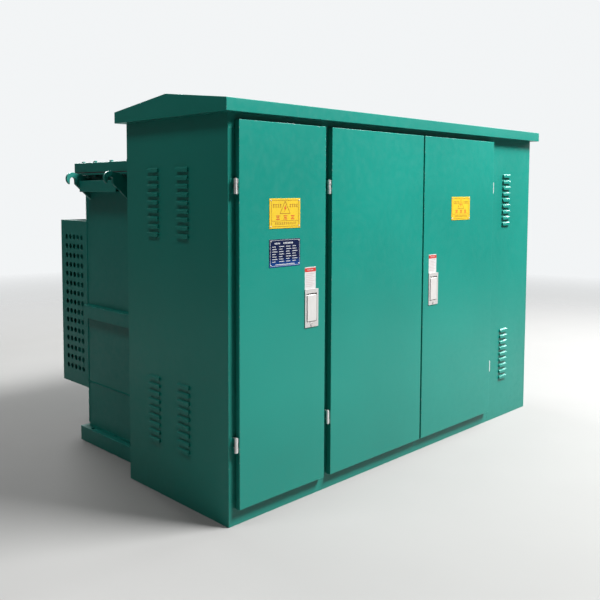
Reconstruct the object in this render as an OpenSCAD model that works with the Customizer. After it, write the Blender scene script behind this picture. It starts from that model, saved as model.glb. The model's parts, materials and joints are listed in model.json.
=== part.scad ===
// Pad-mounted transformer: a pitched-roof terminal cabinet in front of an oil tank
// with rear radiators. X is the width, the doors face -Y and Z is up. The origin is
// at the middle of the footprint, on the pad.

/* [Cabinet] */
// Width of the cabinet over its side panels
cab_w = 2500; // [2450:10:2600]
// Depth from the front frame to the tank wall
cab_d = 730; // [700:10:800]
// Height up to the underside of the roof fascia
cab_h = 1700; // [1690:10:1760]
// Thickness of the folded sheet steel
sheet = 3; // [2:0.5:4]
// Depth of the frame tubes
tube = 40; // [40:5:50]
// Width of each front post
post_w = 60; // [50:5:70]
// Height of the front sill
sill_h = 100; // [90:5:110]
// Height of the front header
header_h = 60; // [50:5:70]

/* [Roof] */
// Overhang of the roof past every cabinet face
roof_over = 40; // [40:5:60]
// Height of the fascia
fascia_h = 52; // [40:2:70]
// Rise of the ridge above the fascia
ridge_rise = 49; // [30:1:80]

/* [Doors] */
// Frame left showing beside the high-voltage door
left_strip = 36; // [34:1:40]
// Width of the high-voltage door
hv_door_w = 516; // [500:2:530]
// Gap between the high-voltage and low-voltage doors
door_gap = 43; // [42:1:50]
// Width of the left low-voltage door
lv_left_w = 711; // [690:1:720]
// Gap between the two low-voltage doors
leaf_gap = 12; // [8:1:16]
// Width of the right low-voltage door
lv_right_w = 695; // [680:1:710]
// Height of the doors
door_h = 1600; // [1580:5:1605]
// Height of the door bottoms above the pad
door_z = 72; // [68:1:80]
// How far the doors stand out from the frame
door_t = 28; // [28:1:32]
// Thickness of the door sheet
door_sheet = 2.5; // [2:0.5:3]

/* [Hinges and locks] */
// Height of a hinge barrel
hinge_h = 62; // [56:2:80]
// Radius of a hinge barrel
knuckle_r = 7; // [6:0.5:7]
// Radius of a hinge pin
pin_r = 3; // [2.5:0.5:3.5]
// Height of the lower hinges
hinge_low_z = 345; // [300:5:400]
// Height of the upper hinges
hinge_high_z = 1405; // [1350:5:1450]
// Height of the lock centres
lock_z = 868; // [840:2:900]
// Distance of a lock centre from the door's free edge
lock_inset = 91; // [90:1:100]

/* [Louvres] */
// Width of a louvre
louvre_w = 86; // [70:2:90]
// Height of a louvre
louvre_h = 22; // [18:1:24]
// How far a louvre hood stands out
louvre_out = 9; // [6:1:10]
// Spacing of the louvres in a stack
louvre_pitch = 36; // [30:1:40]
// Louvres in a stack
louvre_count = 9; // [5:1:9]

/* [Tank] */
// Inset of the tank wall from the cabinet side
tank_inset = 150; // [150:5:180]
// Depth of the tank
tank_d = 640; // [620:10:700]
// Height of the tank flange above the pad
tank_h = 1480; // [1470:5:1485]
// Thickness of the tank wall
tank_wall = 6; // [5:1:8]
// Width of the tank flange outside the wall
rim = 45; // [40:1:50]
// Thickness of the cover gasket
gasket_t = 5; // [4:1:6]
// Height of the cover
cover_h = 50; // [40:2:56]
// Height of the tank base rails
base_h = 80; // [70:5:100]
// Radius of the pad anchor holes
anchor_r = 10; // [8:1:11]

/* [Radiators] */
// Depth of the radiator bay behind the tank
guard_d = 290; // [280:5:320]
// Bottom of the radiator guard
guard_z = 290; // [250:10:300]
// Height of the radiator guard
guard_h = 930; // [900:10:950]
// Radius of a guard perforation
perf_r = 15; // [10:1:16]
// Number of radiator plates
plate_count = 40; // [20:2:44]

/* [Core and coils] */
// Distance between core limbs
limb_pitch = 500; // [490:5:520]
// Width of a core limb
limb_w = 200; // [180:5:200]
// Height of the core window
window_h = 760; // [700:10:780]

/* [Fittings] */
// Length of a fuse stick's rod inside its holder
fuse_rod = 340; // [300:10:360]
// Radius of a fuse rod
fuse_r = 18; // [14:1:20]
// Radius of the bolt holes in the copper bars
bar_hole_r = 7; // [5:0.5:8]

/* [Hidden] */
$fn = 48;

// Overall depth, and the Y of the cabinet front, the tank front and the tank back
total_d = roof_over + cab_d + tank_d + guard_d;
front_y = -total_d / 2 + roof_over;
wall_y = front_y + cab_d;
rear_y = wall_y + tank_d;
guard_y = rear_y + guard_d;

// X of the door edges and of the hinge axes
side_x = cab_w / 2;
hv_x0 = -side_x + left_strip;
hv_x1 = hv_x0 + hv_door_w;
lv_x0 = hv_x1 + door_gap;
lv_x1 = lv_x0 + lv_left_w;
lv_x2 = lv_x1 + leaf_gap;
lv_x3 = lv_x2 + lv_right_w;
hinge_out = 10;
hinge_back = 17.5;
hinge_y = front_y - hinge_back;
knuckle_gap = 0.8;
run_gap = 0.05;
leaf_t = 2.5;

// Frame: the posts reach past the door edges so that the doors and seals land on them
post_lap = 22;
hinge_lap = 26;
end_lap = 30;
mid_post_x0 = hv_x1 - post_lap;
mid_post_x1 = lv_x0 + hinge_lap;
end_post_x0 = lv_x3 - end_lap;
end_post_x1 = end_post_x0 + post_w;
header_z = cab_h - header_h;
floor_h = 60;
weld_gap = 1;
frame_wall = 3;

// Doors
door_gap_y = 2;
door_y = front_y - door_t;
door_lip = 15;
meeting_gap = 2.5;
seal_t = 1.6;
seal_w = 12;
seal_in = 3;

// Locks: plate, window, cup and paddle, measured from the lock centre
lock_w = 86;
lock_h = 170;
lock_t = 3;
cup_w = 70;
cup_d = 18;
cup_wall = 2;
cup_z0 = -64;
cup_z1 = 68;
pivot_y = 6;
pivot_z = 56;
pivot_r = 3;
boss_r = 6;
paddle_w = 58;
paddle_z0 = -58;
paddle_z1 = 58;
paddle_y0 = -5;
bolt_h = 16;
bolt_t = 6;
bolt_y0 = 22;
bolt_reach = 66;
bolt_hook_y = 44;

// Signs
sign_w = 184;
sign_h = 127;
sign_z = 1292;
plate_w = 185;
plate_h = 118;
plate_z = 1124;
sign_t = 1.5;
rivet_r = 3;

// Louvres: stack centres up the panels, and columns measured from the front
louvre_top_z = 1335;
louvre_low_z = 392;
side_cols = [299, 517];
front_col = 2212;

// Tank
tank_x = side_x - tank_inset;
tank_floor = 8;
flange_t = 10;
cover_z = tank_h + gasket_t;
cover_top = cover_z + cover_h;
base_out = 40;
base_wall = 6;
cover_bolt_r = 6;
bolt_pitch = 190;
rib_z = 690;
rib_h = 70;
rib_out = 30;

// Lifting hooks: distances along Y behind the cabinet face, and outline sizes
hook_ys = [950, 1325];
hook_t = 16;
hook_z = 1338;
hook_head = [110, 112];
hook_head_r = 34;
hook_mouth_r = 16;
hook_bar_z = [1380, 1440];
hook_bar_out = [34, 70];

// Radiator guard perforations
perf_pitch_y = 42;
perf_pitch_z = 53;
perf_rows = 15;
side_perf_cols = 5;
rear_bays = 4;
rear_bay_cols = 8;
guard_lip = 25;
header_r = 30;
header_y = rear_y + 48;
plate_t = 12;
plate_y0 = header_y + header_r - 1;
plate_y1 = guard_y - 25;
plate_z0 = guard_z + 60;
plate_z1 = guard_z + guard_h - 60;

// Core and coils
core_t = 220;
yoke_h = 180;
core_y = wall_y + tank_d / 2;
core_z = base_h + tank_floor + 22;
clamp_t = 20;
coil_gap = 20;
lv_coil_r = [155, 190];
hv_coil_r = [200, 240];

// Fittings on the tank wall: X from the cabinet's left side, and heights
phase_x = [230, 350, 470];
bushing_z = 960;
fuse_z = 1190;
switch_at = [430, 1370];
tap_at = [230, 1330];
glass_at = [195, 1435];
relief_at = [275, 1435];
gauge_xs = [230, 350];
gauge_z = 760;
valve_at = [250, 200];
ground_xs = [330, 540];
ground_z = 150;
gauge_r = 40;
gauge_d = 46;
gauge_stub = 20;
dial_recess = 8;
needle_r = 2;
valve_out = 92;
wheel_z = 276;
wheel_r = 34;
bonnet_h = wheel_z - valve_at[1] - 30;
stem_r = 5;
stem_in = 20;

// Fuse holders
fuse_bore = fuse_r + 0.5;
holder_r = fuse_bore + 7;
holder_out = 70;
fuse_cap_r = 32;
fuse_cap_t = 24;

// Operating handles
switch_shaft_r = 10;
switch_hub_out = 40;
tap_shaft_r = 8;
tap_hub_out = 30;
shaft_gap = 0.5;
housing_wall = 8;
bushing_hole_r = 26;
lv_hole_r = 21;

// Low-voltage side
lv_xs = [975, 1125, 1275, 1425];
lv_z = 1250;
spade_zs = [lv_z - 55, lv_z - 25];
spade_y = wall_y - 110;
spade_t = 10;
bar_w = 60;
bar_t = 8;
breaker_x = 1275;
breaker_w = 450;
breaker_z = [560, 860];
breaker_y = [wall_y - 300, wall_y - 62];
pocket_w = 50;
pocket_d = 30;
pocket_h = 110;
toggle_y = breaker_y[0] + 4;
toggle_z = 710;
toggle_r = 18;
toggle_pin_r = 3;
toggle_tilt = 25;

// Places worked out from the values above
roof_bolt_xs = [for (i = [-2.5:1:2.5]) i * 700 / 2 - 230];
roof_bolt_y = front_y + tube / 2;
side_stacks = [for (x = side_cols, z = [louvre_low_z, louvre_top_z]) [x, z]];
guard_bolt_zs = [guard_z + 100, guard_z + guard_h - 100];
knuckle_h = hinge_h / 3;
hv_lock_x = hv_x1 - lock_inset;
lv_lock_x = lv_x2 + lock_inset;
anchor_ys = [wall_y + 70, wall_y + tank_d - 70];
core_w = 2 * limb_pitch + limb_w;
core_h = window_h + 2 * yoke_h;
limb_xs = [-limb_pitch, 0, limb_pitch];
terminal_y = [spade_y, spade_y + spade_t];
terminal_hole_z = breaker_z[0] - 30;
upper_hole_z = breaker_z[1] + 50;
neutral_zs = [430, 480, 530];

// A box between two opposite corners
module box(lo, hi) {
    translate(lo) cube(hi - lo);
}

// A rectangular tube along one axis: 0 is X, 1 is Y and 2 is Z
module tube_box(lo, hi, axis, wall) {
    inset = [for (i = [0:2]) i == axis ? -1 : wall];
    difference() {
        box(lo, hi);
        box(lo + inset, hi - inset);
    }
}

// Moves to a point on the tank's front wall, with +Z pointing out of the wall
module on_wall(at) {
    translate([at[0] - side_x, wall_y, at[1]]) rotate([90, 0, 0]) children();
}

// Draws its children and their mirror image on the other side of the cabinet
module both_sides() {
    children();
    mirror([1, 0, 0]) children();
}

module hex_bolt(r, length) {
    cylinder(r = r * 1.9, h = r * 1.3, $fn = 6);
    translate([0, 0, -length]) cylinder(r = r, h = length + 0.1);
}

// ---- Cabinet ----

module cabinet_base() {
    y0 = front_y + tube + weld_gap;
    y1 = wall_y - tube - weld_gap;
    mid_x = (mid_post_x0 + mid_post_x1) / 2;
    color("darkgreen") {
        both_sides() tube_box([side_x - sheet - weld_gap - tube, y0, 0],
            [side_x - sheet - weld_gap, y1, floor_h], 1, frame_wall);
        tube_box([mid_x - tube / 2, y0, 0], [mid_x + tube / 2, y1, floor_h], 1, frame_wall);
        tube_box([-side_x + sheet + weld_gap, y1 + weld_gap, 0],
            [side_x - sheet - weld_gap, wall_y - weld_gap, floor_h], 0, frame_wall);
    }
}

module front_post(x0, x1) {
    tube_box([x0, front_y, sill_h], [x1, front_y + tube, header_z], 2, frame_wall);
}

module frame_posts() {
    color("seagreen") {
        front_post(-side_x + sheet, -side_x + sheet + post_w);
        front_post(mid_post_x0, mid_post_x1);
        front_post(end_post_x0, end_post_x1);
        both_sides() tube_box([tank_x + weld_gap, wall_y - tube, floor_h + weld_gap],
            [side_x - sheet, wall_y, cab_h], 2, frame_wall);
    }
}

module frame_rails() {
    color("seagreen") {
        tube_box([-side_x + sheet, front_y, 0], [end_post_x1, front_y + tube, sill_h], 0, frame_wall);
        difference() {
            tube_box([-side_x + sheet, front_y, header_z],
                [end_post_x1, front_y + tube, cab_h], 0, frame_wall);
            for (x = roof_bolt_xs) translate([x, roof_bolt_y, header_z - 1])
                cylinder(r = cover_bolt_r + 1, h = header_h + 2);
        }
        tube_box([-tank_x, wall_y - tube, tank_h], [tank_x, wall_y - weld_gap, cab_h], 0, frame_wall);
    }
}

// A pressed louvre, opening downwards, standing out towards -Y
module louvre_outline(inset) {
    r = louvre_h / 2 - inset;
    half_flat = louvre_w / 2 - louvre_h / 2;
    square([2 * half_flat, 2 * r], center = true);
    for (s = [-1, 1]) translate([s * half_flat, 0]) circle(r = r);
}

module louvre_wedge(inset) {
    out = louvre_out - inset;
    top = louvre_h / 2 - inset;
    foot = -louvre_h / 2 - (inset > 0 ? 1 : 0);
    shoulder = louvre_h * 0.18 - inset * 0.6;
    intersection() {
        rotate([90, 0, 90]) linear_extrude(louvre_w, center = true)
            polygon([[1, top + 1], [-1, top], [-out, shoulder], [-out, foot], [1, foot]]);
        rotate([90, 0, 0]) linear_extrude(4 * louvre_out, center = true)
            union() {
                louvre_outline(inset);
                if (inset > 0) translate([-louvre_w / 2 + louvre_h / 2, -louvre_h])
                    square([louvre_w - louvre_h, louvre_h]);
            }
    }
}

module louvre_hood() {
    difference() {
        louvre_wedge(0);
        louvre_wedge(sheet / 2);
    }
}

// A louvred sheet standing in the XZ plane, its outer face at y = 0, with stack centres
module louvred_sheet(w, h, stacks) {
    steps = [for (i = [0:louvre_count - 1]) (i - (louvre_count - 1) / 2) * louvre_pitch];
    difference() {
        cube([w, sheet, h]);
        for (s = stacks, dz = steps) translate([s[0], sheet / 2, s[1] + dz])
            cube([louvre_w - louvre_h, 2 * sheet, louvre_h * 0.6], center = true);
    }
    for (s = stacks, dz = steps) translate([s[0], 0, s[1] + dz]) louvre_hood();
}

module left_side_panel() {
    color("darkslategray") translate([-side_x, wall_y, 0]) rotate([0, 0, -90])
        louvred_sheet(cab_d, cab_h, [for (s = side_stacks) [cab_d - s[0], s[1]]]);
}

module right_side_panel() {
    color("seagreen") translate([side_x, front_y, 0]) rotate([0, 0, 90])
        louvred_sheet(cab_d, cab_h, side_stacks);
}

module front_right_panel() {
    w = side_x - sheet - end_post_x1;
    col = front_col - side_x - end_post_x1;
    color("seagreen") translate([end_post_x1, front_y, 0]) {
        louvred_sheet(w, cab_h, [for (z = [louvre_low_z, louvre_top_z]) [col, z]]);
        for (x = [0, w - sheet]) box([x, sheet, 0], [x + sheet, tube, cab_h]);
    }
}

module roof_section(inset) {
    y0 = front_y - roof_over + inset;
    y1 = wall_y + roof_over - inset;
    eave = cab_h + fascia_h - inset;
    floor_z = inset > 0 ? cab_h + inset : cab_h;
    polygon([[y0, floor_z], [y0, eave], [(y0 + y1) / 2, eave + ridge_rise], [y1, eave], [y1, floor_z]]);
}

module roof() {
    w = cab_w + 2 * roof_over;
    soffit = roof_over + tube + 30;
    color("mediumseagreen") difference() {
        rotate([90, 0, 90]) linear_extrude(w, center = true) roof_section(0);
        rotate([90, 0, 90]) linear_extrude(w - 2 * sheet, center = true) roof_section(sheet);
        box([-w / 2 + soffit, front_y - roof_over + soffit, cab_h - 1],
            [w / 2 - soffit, wall_y + roof_over - soffit, cab_h + 2 * sheet]);
        for (x = roof_bolt_xs) translate([x, roof_bolt_y, cab_h - 1])
            cylinder(r = cover_bolt_r + 1, h = 3 * sheet);
    }
}

module compartment_barrier() {
    mid_x = (mid_post_x0 + mid_post_x1) / 2;
    y0 = front_y + tube + weld_gap;
    z0 = floor_h + weld_gap;
    color("seagreen") {
        box([mid_x - sheet / 2, y0, z0], [mid_x + sheet / 2, wall_y - weld_gap, tank_h - weld_gap]);
        box([mid_x - sheet / 2, y0, z0],
            [mid_x + sheet / 2, wall_y - tube - weld_gap, cab_h - weld_gap]);
    }
}

module seal_ring(x0, x1) {
    z0 = door_z + seal_in;
    z1 = door_z + door_h - seal_in;
    difference() {
        box([x0 + seal_in, front_y - seal_t, z0], [x1 - seal_in, front_y, z1]);
        box([x0 + seal_in + seal_w, front_y - seal_t - 1, z0 + seal_w],
            [x1 - seal_in - seal_w, front_y + 1, z1 - seal_w]);
    }
}

module door_seals() {
    color("dimgray") {
        seal_ring(hv_x0, hv_x1);
        seal_ring(lv_x0, lv_x3);
    }
}

// ---- Bolts ----

// The front row stands inside the tank, so it is shorter than the rear row
module rim_bolt_points() {
    nx = floor(2 * tank_x / bolt_pitch);
    ny = floor((tank_d - rim) / bolt_pitch);
    for (i = [0:nx]) {
        translate([(i / nx - 0.5) * 2 * (tank_x - rim), wall_y + rim / 2, 0]) children();
        translate([(i / nx - 0.5) * 2 * tank_x, rear_y + rim / 2, 0]) children();
    }
    for (i = [1:ny], s = [-1, 1])
        translate([s * (tank_x + rim / 2), wall_y + rim / 2 + i * tank_d / (ny + 1), 0]) children();
}

module hex_bolts() {
    color("silver") {
        rim_bolt_points() translate([0, 0, cover_top]) hex_bolt(cover_bolt_r, cover_h + 25);
        for (x = roof_bolt_xs) translate([x, roof_bolt_y, header_z]) rotate([180, 0, 0])
            hex_bolt(cover_bolt_r, header_h + 12);
        both_sides() for (z = guard_bolt_zs)
            translate([tank_x - sheet - guard_lip / 2, rear_y + sheet, z]) rotate([-90, 0, 0])
                hex_bolt(cover_bolt_r - 1, sheet - 0.1);
    }
}

// ---- Hinges ----

// Hinge pieces stand at the hinge axis. The frame face lies at y = hinge_back and the
// door's side face at x = hinge_out.

module frame_leaf() {
    difference() {
        union() {
            box([-18, hinge_back - leaf_t, 0], [5, hinge_back, hinge_h]);
            for (z = [0, 2 * knuckle_h]) {
                translate([0, 0, z]) cylinder(r = knuckle_r, h = knuckle_h);
                box([-5, 0, z], [5, hinge_back - 0.5, z + knuckle_h]);
            }
        }
        translate([0, 0, -1]) cylinder(r = pin_r + run_gap, h = hinge_h + 2);
    }
}

module door_leaf() {
    z0 = knuckle_h + knuckle_gap;
    h = knuckle_h - 2 * knuckle_gap;
    near = hinge_back - door_t + 1.5;
    far = hinge_back - door_gap_y - 2.5;
    difference() {
        union() {
            box([hinge_out - leaf_t, near, 0], [hinge_out, far, hinge_h]);
            translate([0, 0, z0]) cylinder(r = knuckle_r, h = h);
            box([0, -5, z0], [hinge_out - 0.5, 5, z0 + h]);
        }
        translate([0, 0, -1]) cylinder(r = pin_r + run_gap, h = hinge_h + 2);
    }
}

module hinge_pin() {
    cylinder(r = pin_r, h = hinge_h);
    translate([0, 0, hinge_h]) cylinder(r = pin_r + 2, h = 3);
}

// Places a left-hand hinge at both hinge heights of a door edge
module at_hinges(edge_x, hand) {
    for (z = [hinge_low_z, hinge_high_z])
        translate([edge_x - hand * hinge_out, hinge_y, z - hinge_h / 2])
            scale_hand(hand) children();
}

module scale_hand(hand) {
    if (hand > 0) children();
    else mirror([1, 0, 0]) children();
}

module frame_hinge_leaves() {
    color("seagreen") {
        at_hinges(hv_x0, 1) frame_leaf();
        at_hinges(lv_x0, 1) frame_leaf();
        at_hinges(lv_x3, -1) frame_leaf();
    }
}

module hinge_pins() {
    color("silver") {
        at_hinges(hv_x0, 1) hinge_pin();
        at_hinges(lv_x0, 1) hinge_pin();
        at_hinges(lv_x3, -1) hinge_pin();
    }
}

module hv_hinge_leaves() {
    color("silver") at_hinges(hv_x0, 1) door_leaf();
}

module lv_left_hinge_leaves() {
    color("silver") at_hinges(lv_x0, 1) door_leaf();
}

module lv_right_hinge_leaves() {
    color("silver") at_hinges(lv_x3, -1) door_leaf();
}

// ---- Doors ----

module door_pan(x0, x1) {
    back = front_y - door_gap_y;
    z1 = door_z + door_h;
    difference() {
        box([x0, door_y, door_z], [x1, back, z1]);
        box([x0 + door_sheet, door_y + door_sheet, door_z + door_sheet],
            [x1 - door_sheet, back - door_sheet, z1 - door_sheet]);
        box([x0 + door_lip + door_sheet, door_y + door_sheet, door_z + door_lip + door_sheet],
            [x1 - door_lip - door_sheet, back + 1, z1 - door_lip - door_sheet]);
    }
}

module lock_cutout(x) {
    gap = 1;
    translate([x, door_y, lock_z])
        box([-cup_w / 2 - gap, -1, cup_z0 - gap], [cup_w / 2 + gap, door_sheet + 1, cup_z1 + gap]);
}

module hv_door() {
    color("mediumseagreen") difference() {
        door_pan(hv_x0, hv_x1);
        lock_cutout(hv_lock_x);
    }
}

// The left leaf has a folded strip that closes most of the gap between the leaves
module lv_left_door() {
    back = front_y - door_gap_y;
    color("mediumseagreen") {
        door_pan(lv_x0, lv_x1);
        box([lv_x1 - door_sheet, back - door_sheet, door_z],
            [lv_x2 - meeting_gap, back, door_z + door_h]);
    }
}

module lv_right_door() {
    color("mediumseagreen") difference() {
        door_pan(lv_x2, lv_x3);
        lock_cutout(lv_lock_x);
    }
}

// A thin plate on a door's face with a rivet in each corner
module sign_plate(x, z, w, h) {
    translate([x, door_y, z]) {
        box([-w / 2, -sign_t, -h / 2], [w / 2, 0, h / 2]);
        for (sx = [-1, 1], sz = [-1, 1]) translate([sx * (w / 2 - 8), 0, sz * (h / 2 - 8)])
            rotate([90, 0, 0]) cylinder(r = rivet_r, h = sign_t + 1);
    }
}

module hv_warning_sign() {
    color("gold") sign_plate((hv_x0 + hv_x1) / 2, sign_z, sign_w, sign_h);
}

module lv_warning_sign() {
    color("gold") sign_plate((lv_x2 + lv_x3) / 2, sign_z, sign_w, sign_h);
}

module nameplate() {
    color("royalblue") sign_plate((hv_x0 + hv_x1) / 2, plate_z, plate_w, plate_h);
}

// ---- Locks ----

// Lock pieces stand at the lock centre on the door face, with the outside towards -Y.
// The latch bolt points to +X.
module lock_plate() {
    inner = cup_w / 2 - cup_wall;
    guide_gap = 0.5;
    difference() {
        union() {
            box([-lock_w / 2, -lock_t, -lock_h / 2], [lock_w / 2, 0, lock_h / 2]);
            box([-cup_w / 2, 0, cup_z0], [cup_w / 2, cup_d, cup_z1]);
            translate([0, -lock_t, -73]) rotate([90, 0, 0]) cylinder(r = 7, h = 2);
            box([-22, cup_d, -14], [22, bolt_y0 + bolt_t + 4, 14]);
        }
        box([-inner, -lock_t - 1, cup_z0 + cup_wall], [inner, cup_d - cup_wall, cup_z1 - cup_wall]);
        box([-30, bolt_y0 - guide_gap, -bolt_h / 2 - guide_gap],
            [30, bolt_y0 + bolt_t + guide_gap, bolt_h / 2 + guide_gap]);
        box([-1, -lock_t - 3, -78], [1, -lock_t - 1, -68]);
    }
    translate([-inner - 0.5, pivot_y, pivot_z]) rotate([0, 90, 0])
        cylinder(r = pivot_r, h = 2 * inner + 1);
}

module lock_handle() {
    half = paddle_w / 2;
    difference() {
        union() {
            box([-half, paddle_y0, paddle_z0], [half, paddle_y0 + 3, paddle_z1]);
            box([-half, paddle_y0, paddle_z0], [half, 8, paddle_z0 + 3]);
            box([-half, paddle_y0, pivot_z - 5], [half, pivot_y, paddle_z1]);
            translate([-half, pivot_y, pivot_z]) rotate([0, 90, 0]) cylinder(r = boss_r, h = paddle_w);
        }
        translate([-half - 1, pivot_y, pivot_z]) rotate([0, 90, 0])
            cylinder(r = pivot_r + run_gap, h = paddle_w + 2);
    }
}

module latch_bolt() {
    box([-40, bolt_y0, -bolt_h / 2], [bolt_reach, bolt_y0 + bolt_t, bolt_h / 2]);
    box([bolt_reach - 6, bolt_y0, -bolt_h / 2], [bolt_reach, bolt_hook_y, bolt_h / 2]);
}

module at_lock(x, hand) {
    translate([x, door_y, lock_z]) scale_hand(hand) children();
}

module hv_lock_plate() {
    color("silver") at_lock(hv_lock_x, 1) lock_plate();
}

module hv_lock_handle() {
    color("whitesmoke") at_lock(hv_lock_x, 1) lock_handle();
}

module hv_latch_bolt() {
    color("gray") at_lock(hv_lock_x, 1) latch_bolt();
}

module lv_lock_plate() {
    color("silver") at_lock(lv_lock_x, -1) lock_plate();
}

module lv_lock_handle() {
    color("whitesmoke") at_lock(lv_lock_x, -1) lock_handle();
}

module lv_latch_bolt() {
    color("gray") at_lock(lv_lock_x, -1) latch_bolt();
}

// ---- Tank ----

module rim_ring(z0, z1) {
    difference() {
        box([-tank_x - rim, wall_y, z0], [tank_x + rim, rear_y + rim, z1]);
        box([-tank_x + tank_wall, wall_y + rim, z0 - 1],
            [tank_x - tank_wall, rear_y - tank_wall, z1 + 1]);
    }
}

module rim_holes(z0, z1) {
    rim_bolt_points() translate([0, 0, z0 - 1]) cylinder(r = cover_bolt_r + 1, h = z1 - z0 + 2);
}

module wall_hole(at, r) {
    on_wall(at) translate([0, 0, -2 * tank_wall]) cylinder(r = r, h = 3 * tank_wall);
}

module tank_shell() {
    t = tank_wall;
    color("darkslategray") difference() {
        union() {
            box([-tank_x, wall_y, base_h], [tank_x, rear_y, tank_h]);
            rim_ring(tank_h - flange_t, tank_h);
        }
        box([-tank_x + t, wall_y + t, base_h + tank_floor], [tank_x - t, rear_y - t, tank_h - flange_t]);
        box([-tank_x + t, wall_y + rim, tank_h - 2 * flange_t], [tank_x - t, rear_y - t, tank_h + 1]);
        rim_holes(tank_h - flange_t, tank_h);
        for (x = phase_x) {
            wall_hole([x, bushing_z], bushing_hole_r);
            wall_hole([x, fuse_z], holder_r + 1);
        }
        for (x = lv_xs) wall_hole([x, lv_z], lv_hole_r);
        wall_hole(switch_at, switch_shaft_r + housing_wall + 1);
        wall_hole(tap_at, tap_shaft_r + housing_wall + 1);
    }
}

module cover_gasket() {
    color("black") difference() {
        rim_ring(tank_h, cover_z);
        rim_holes(tank_h, cover_z);
    }
}

module tank_cover() {
    color("darkslategray") difference() {
        box([-tank_x - rim, wall_y, cover_z], [tank_x + rim, rear_y + rim, cover_top]);
        box([-tank_x + tank_wall, wall_y + rim, cover_z - 1],
            [tank_x - tank_wall, rear_y - tank_wall, cover_top - 8]);
        rim_holes(cover_z, cover_top);
    }
}

module tank_ribs() {
    color("darkslategray") both_sides() {
        box([tank_x, wall_y + weld_gap, rib_z], [tank_x + rib_out, rear_y, rib_z + rib_h]);
        tube_box([tank_x + hook_bar_out[0], front_y + hook_ys[0] + hook_t / 2, hook_bar_z[0]],
            [tank_x + hook_bar_out[1], front_y + hook_ys[1] - hook_t / 2, hook_bar_z[1]], 1, frame_wall);
    }
}

module tank_base() {
    x1 = tank_x + base_out;
    y1 = rear_y + base_out - 10;
    color("darkslategray") {
        both_sides() difference() {
            box([x1 - 100, wall_y + weld_gap, 0], [x1, y1, base_h]);
            box([x1 - 101, wall_y, base_wall], [x1 - base_wall, y1 - base_wall, base_h - base_wall]);
            for (y = anchor_ys) translate([x1 - base_out / 2, y, -1])
                cylinder(r = anchor_r, h = base_h + 2);
        }
        for (y = [wall_y + weld_gap, y1 - 60])
            tube_box([-x1 + 101, y, 0], [x1 - 101, y + 60, base_h], 0, base_wall);
    }
}

// One hook plate outline: x runs out from the tank wall and y runs up
module hook_outline() {
    difference() {
        union() {
            polygon([[0, 0], [86, 76], hook_head, [hook_head[0] - 12, 142], [60, 138], [0, 104]]);
            translate(hook_head) circle(r = hook_head_r);
        }
        translate(hook_head - [0, 8]) circle(r = hook_mouth_r);
        translate([hook_head[0] - hook_mouth_r, 0]) square([2 * hook_mouth_r, hook_head[1] - 8]);
    }
}

module lifting_hooks() {
    color("darkslategray") both_sides() for (y = hook_ys)
        translate([tank_x, front_y + y + hook_t / 2, hook_z]) rotate([90, 0, 0])
            linear_extrude(hook_t) hook_outline();
}

// ---- Radiators ----

module radiators() {
    span = 2 * tank_x - 160;
    color("darkslategray") {
        for (i = [0:plate_count - 1])
            translate([(i / (plate_count - 1) - 0.5) * span, 0, 0])
                box([-plate_t / 2, plate_y0 + 1, plate_z0], [plate_t / 2, plate_y1, plate_z1]);
        for (z = [plate_z0 + 60, plate_z1 - 60]) {
            translate([-span / 2 - plate_t, header_y, z]) rotate([0, 90, 0])
                cylinder(r = header_r, h = span + 2 * plate_t);
            for (x = [-0.4, 0, 0.4]) translate([x * span, rear_y, z]) rotate([-90, 0, 0])
                cylinder(r = header_r - 6, h = header_y - rear_y);
        }
    }
}

module perforations(cols, cx, cz) {
    for (i = [0:cols - 1], j = [0:perf_rows - 1])
        translate([cx + (i - (cols - 1) / 2) * perf_pitch_y, cz + (j - (perf_rows - 1) / 2) * perf_pitch_z])
            circle(r = perf_r, $fn = 24);
}

// Side guards are folded inwards at their front, rear, top and bottom edges
module guard_sides() {
    color("darkslategray") both_sides() difference() {
        union() {
            translate([tank_x - sheet, rear_y, guard_z]) rotate([90, 0, 90]) linear_extrude(sheet)
                difference() {
                    square([guard_d - sheet, guard_h]);
                    perforations(side_perf_cols, guard_d / 2, guard_h / 2);
                }
            box([tank_x - guard_lip, rear_y, guard_z], [tank_x, rear_y + sheet, guard_z + guard_h]);
            for (z = [guard_z, guard_z + guard_h - sheet])
                box([tank_x - guard_lip, rear_y, z], [tank_x, guard_y - sheet, z + sheet]);
        }
        for (z = guard_bolt_zs) translate([tank_x - sheet - guard_lip / 2, rear_y - 1, z])
            rotate([-90, 0, 0]) cylinder(r = cover_bolt_r, h = 3 * sheet);
    }
}

module guard_rear() {
    bay = 2 * tank_x / rear_bays;
    color("darkslategray") {
        translate([-tank_x, guard_y, guard_z]) rotate([90, 0, 0]) linear_extrude(sheet)
            difference() {
                square([2 * tank_x, guard_h]);
                for (b = [0:rear_bays - 1]) perforations(rear_bay_cols, (b + 0.5) * bay, guard_h / 2);
            }
        for (z = [guard_z, guard_z + guard_h - sheet])
            box([-tank_x + guard_lip + 1, guard_y - guard_lip, z],
                [tank_x - guard_lip - 1, guard_y - sheet / 2, z + sheet]);
    }
}

// ---- Core and coils ----

module core() {
    color("gray") translate([0, core_y, core_z]) rotate([90, 0, 0])
        linear_extrude(core_t, center = true) difference() {
            translate([-core_w / 2, 0]) square([core_w, core_h]);
            for (x = [-limb_pitch / 2, limb_pitch / 2])
                translate([x - (limb_pitch - limb_w) / 2, yoke_h]) square([limb_pitch - limb_w, window_h]);
        }
}

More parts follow.
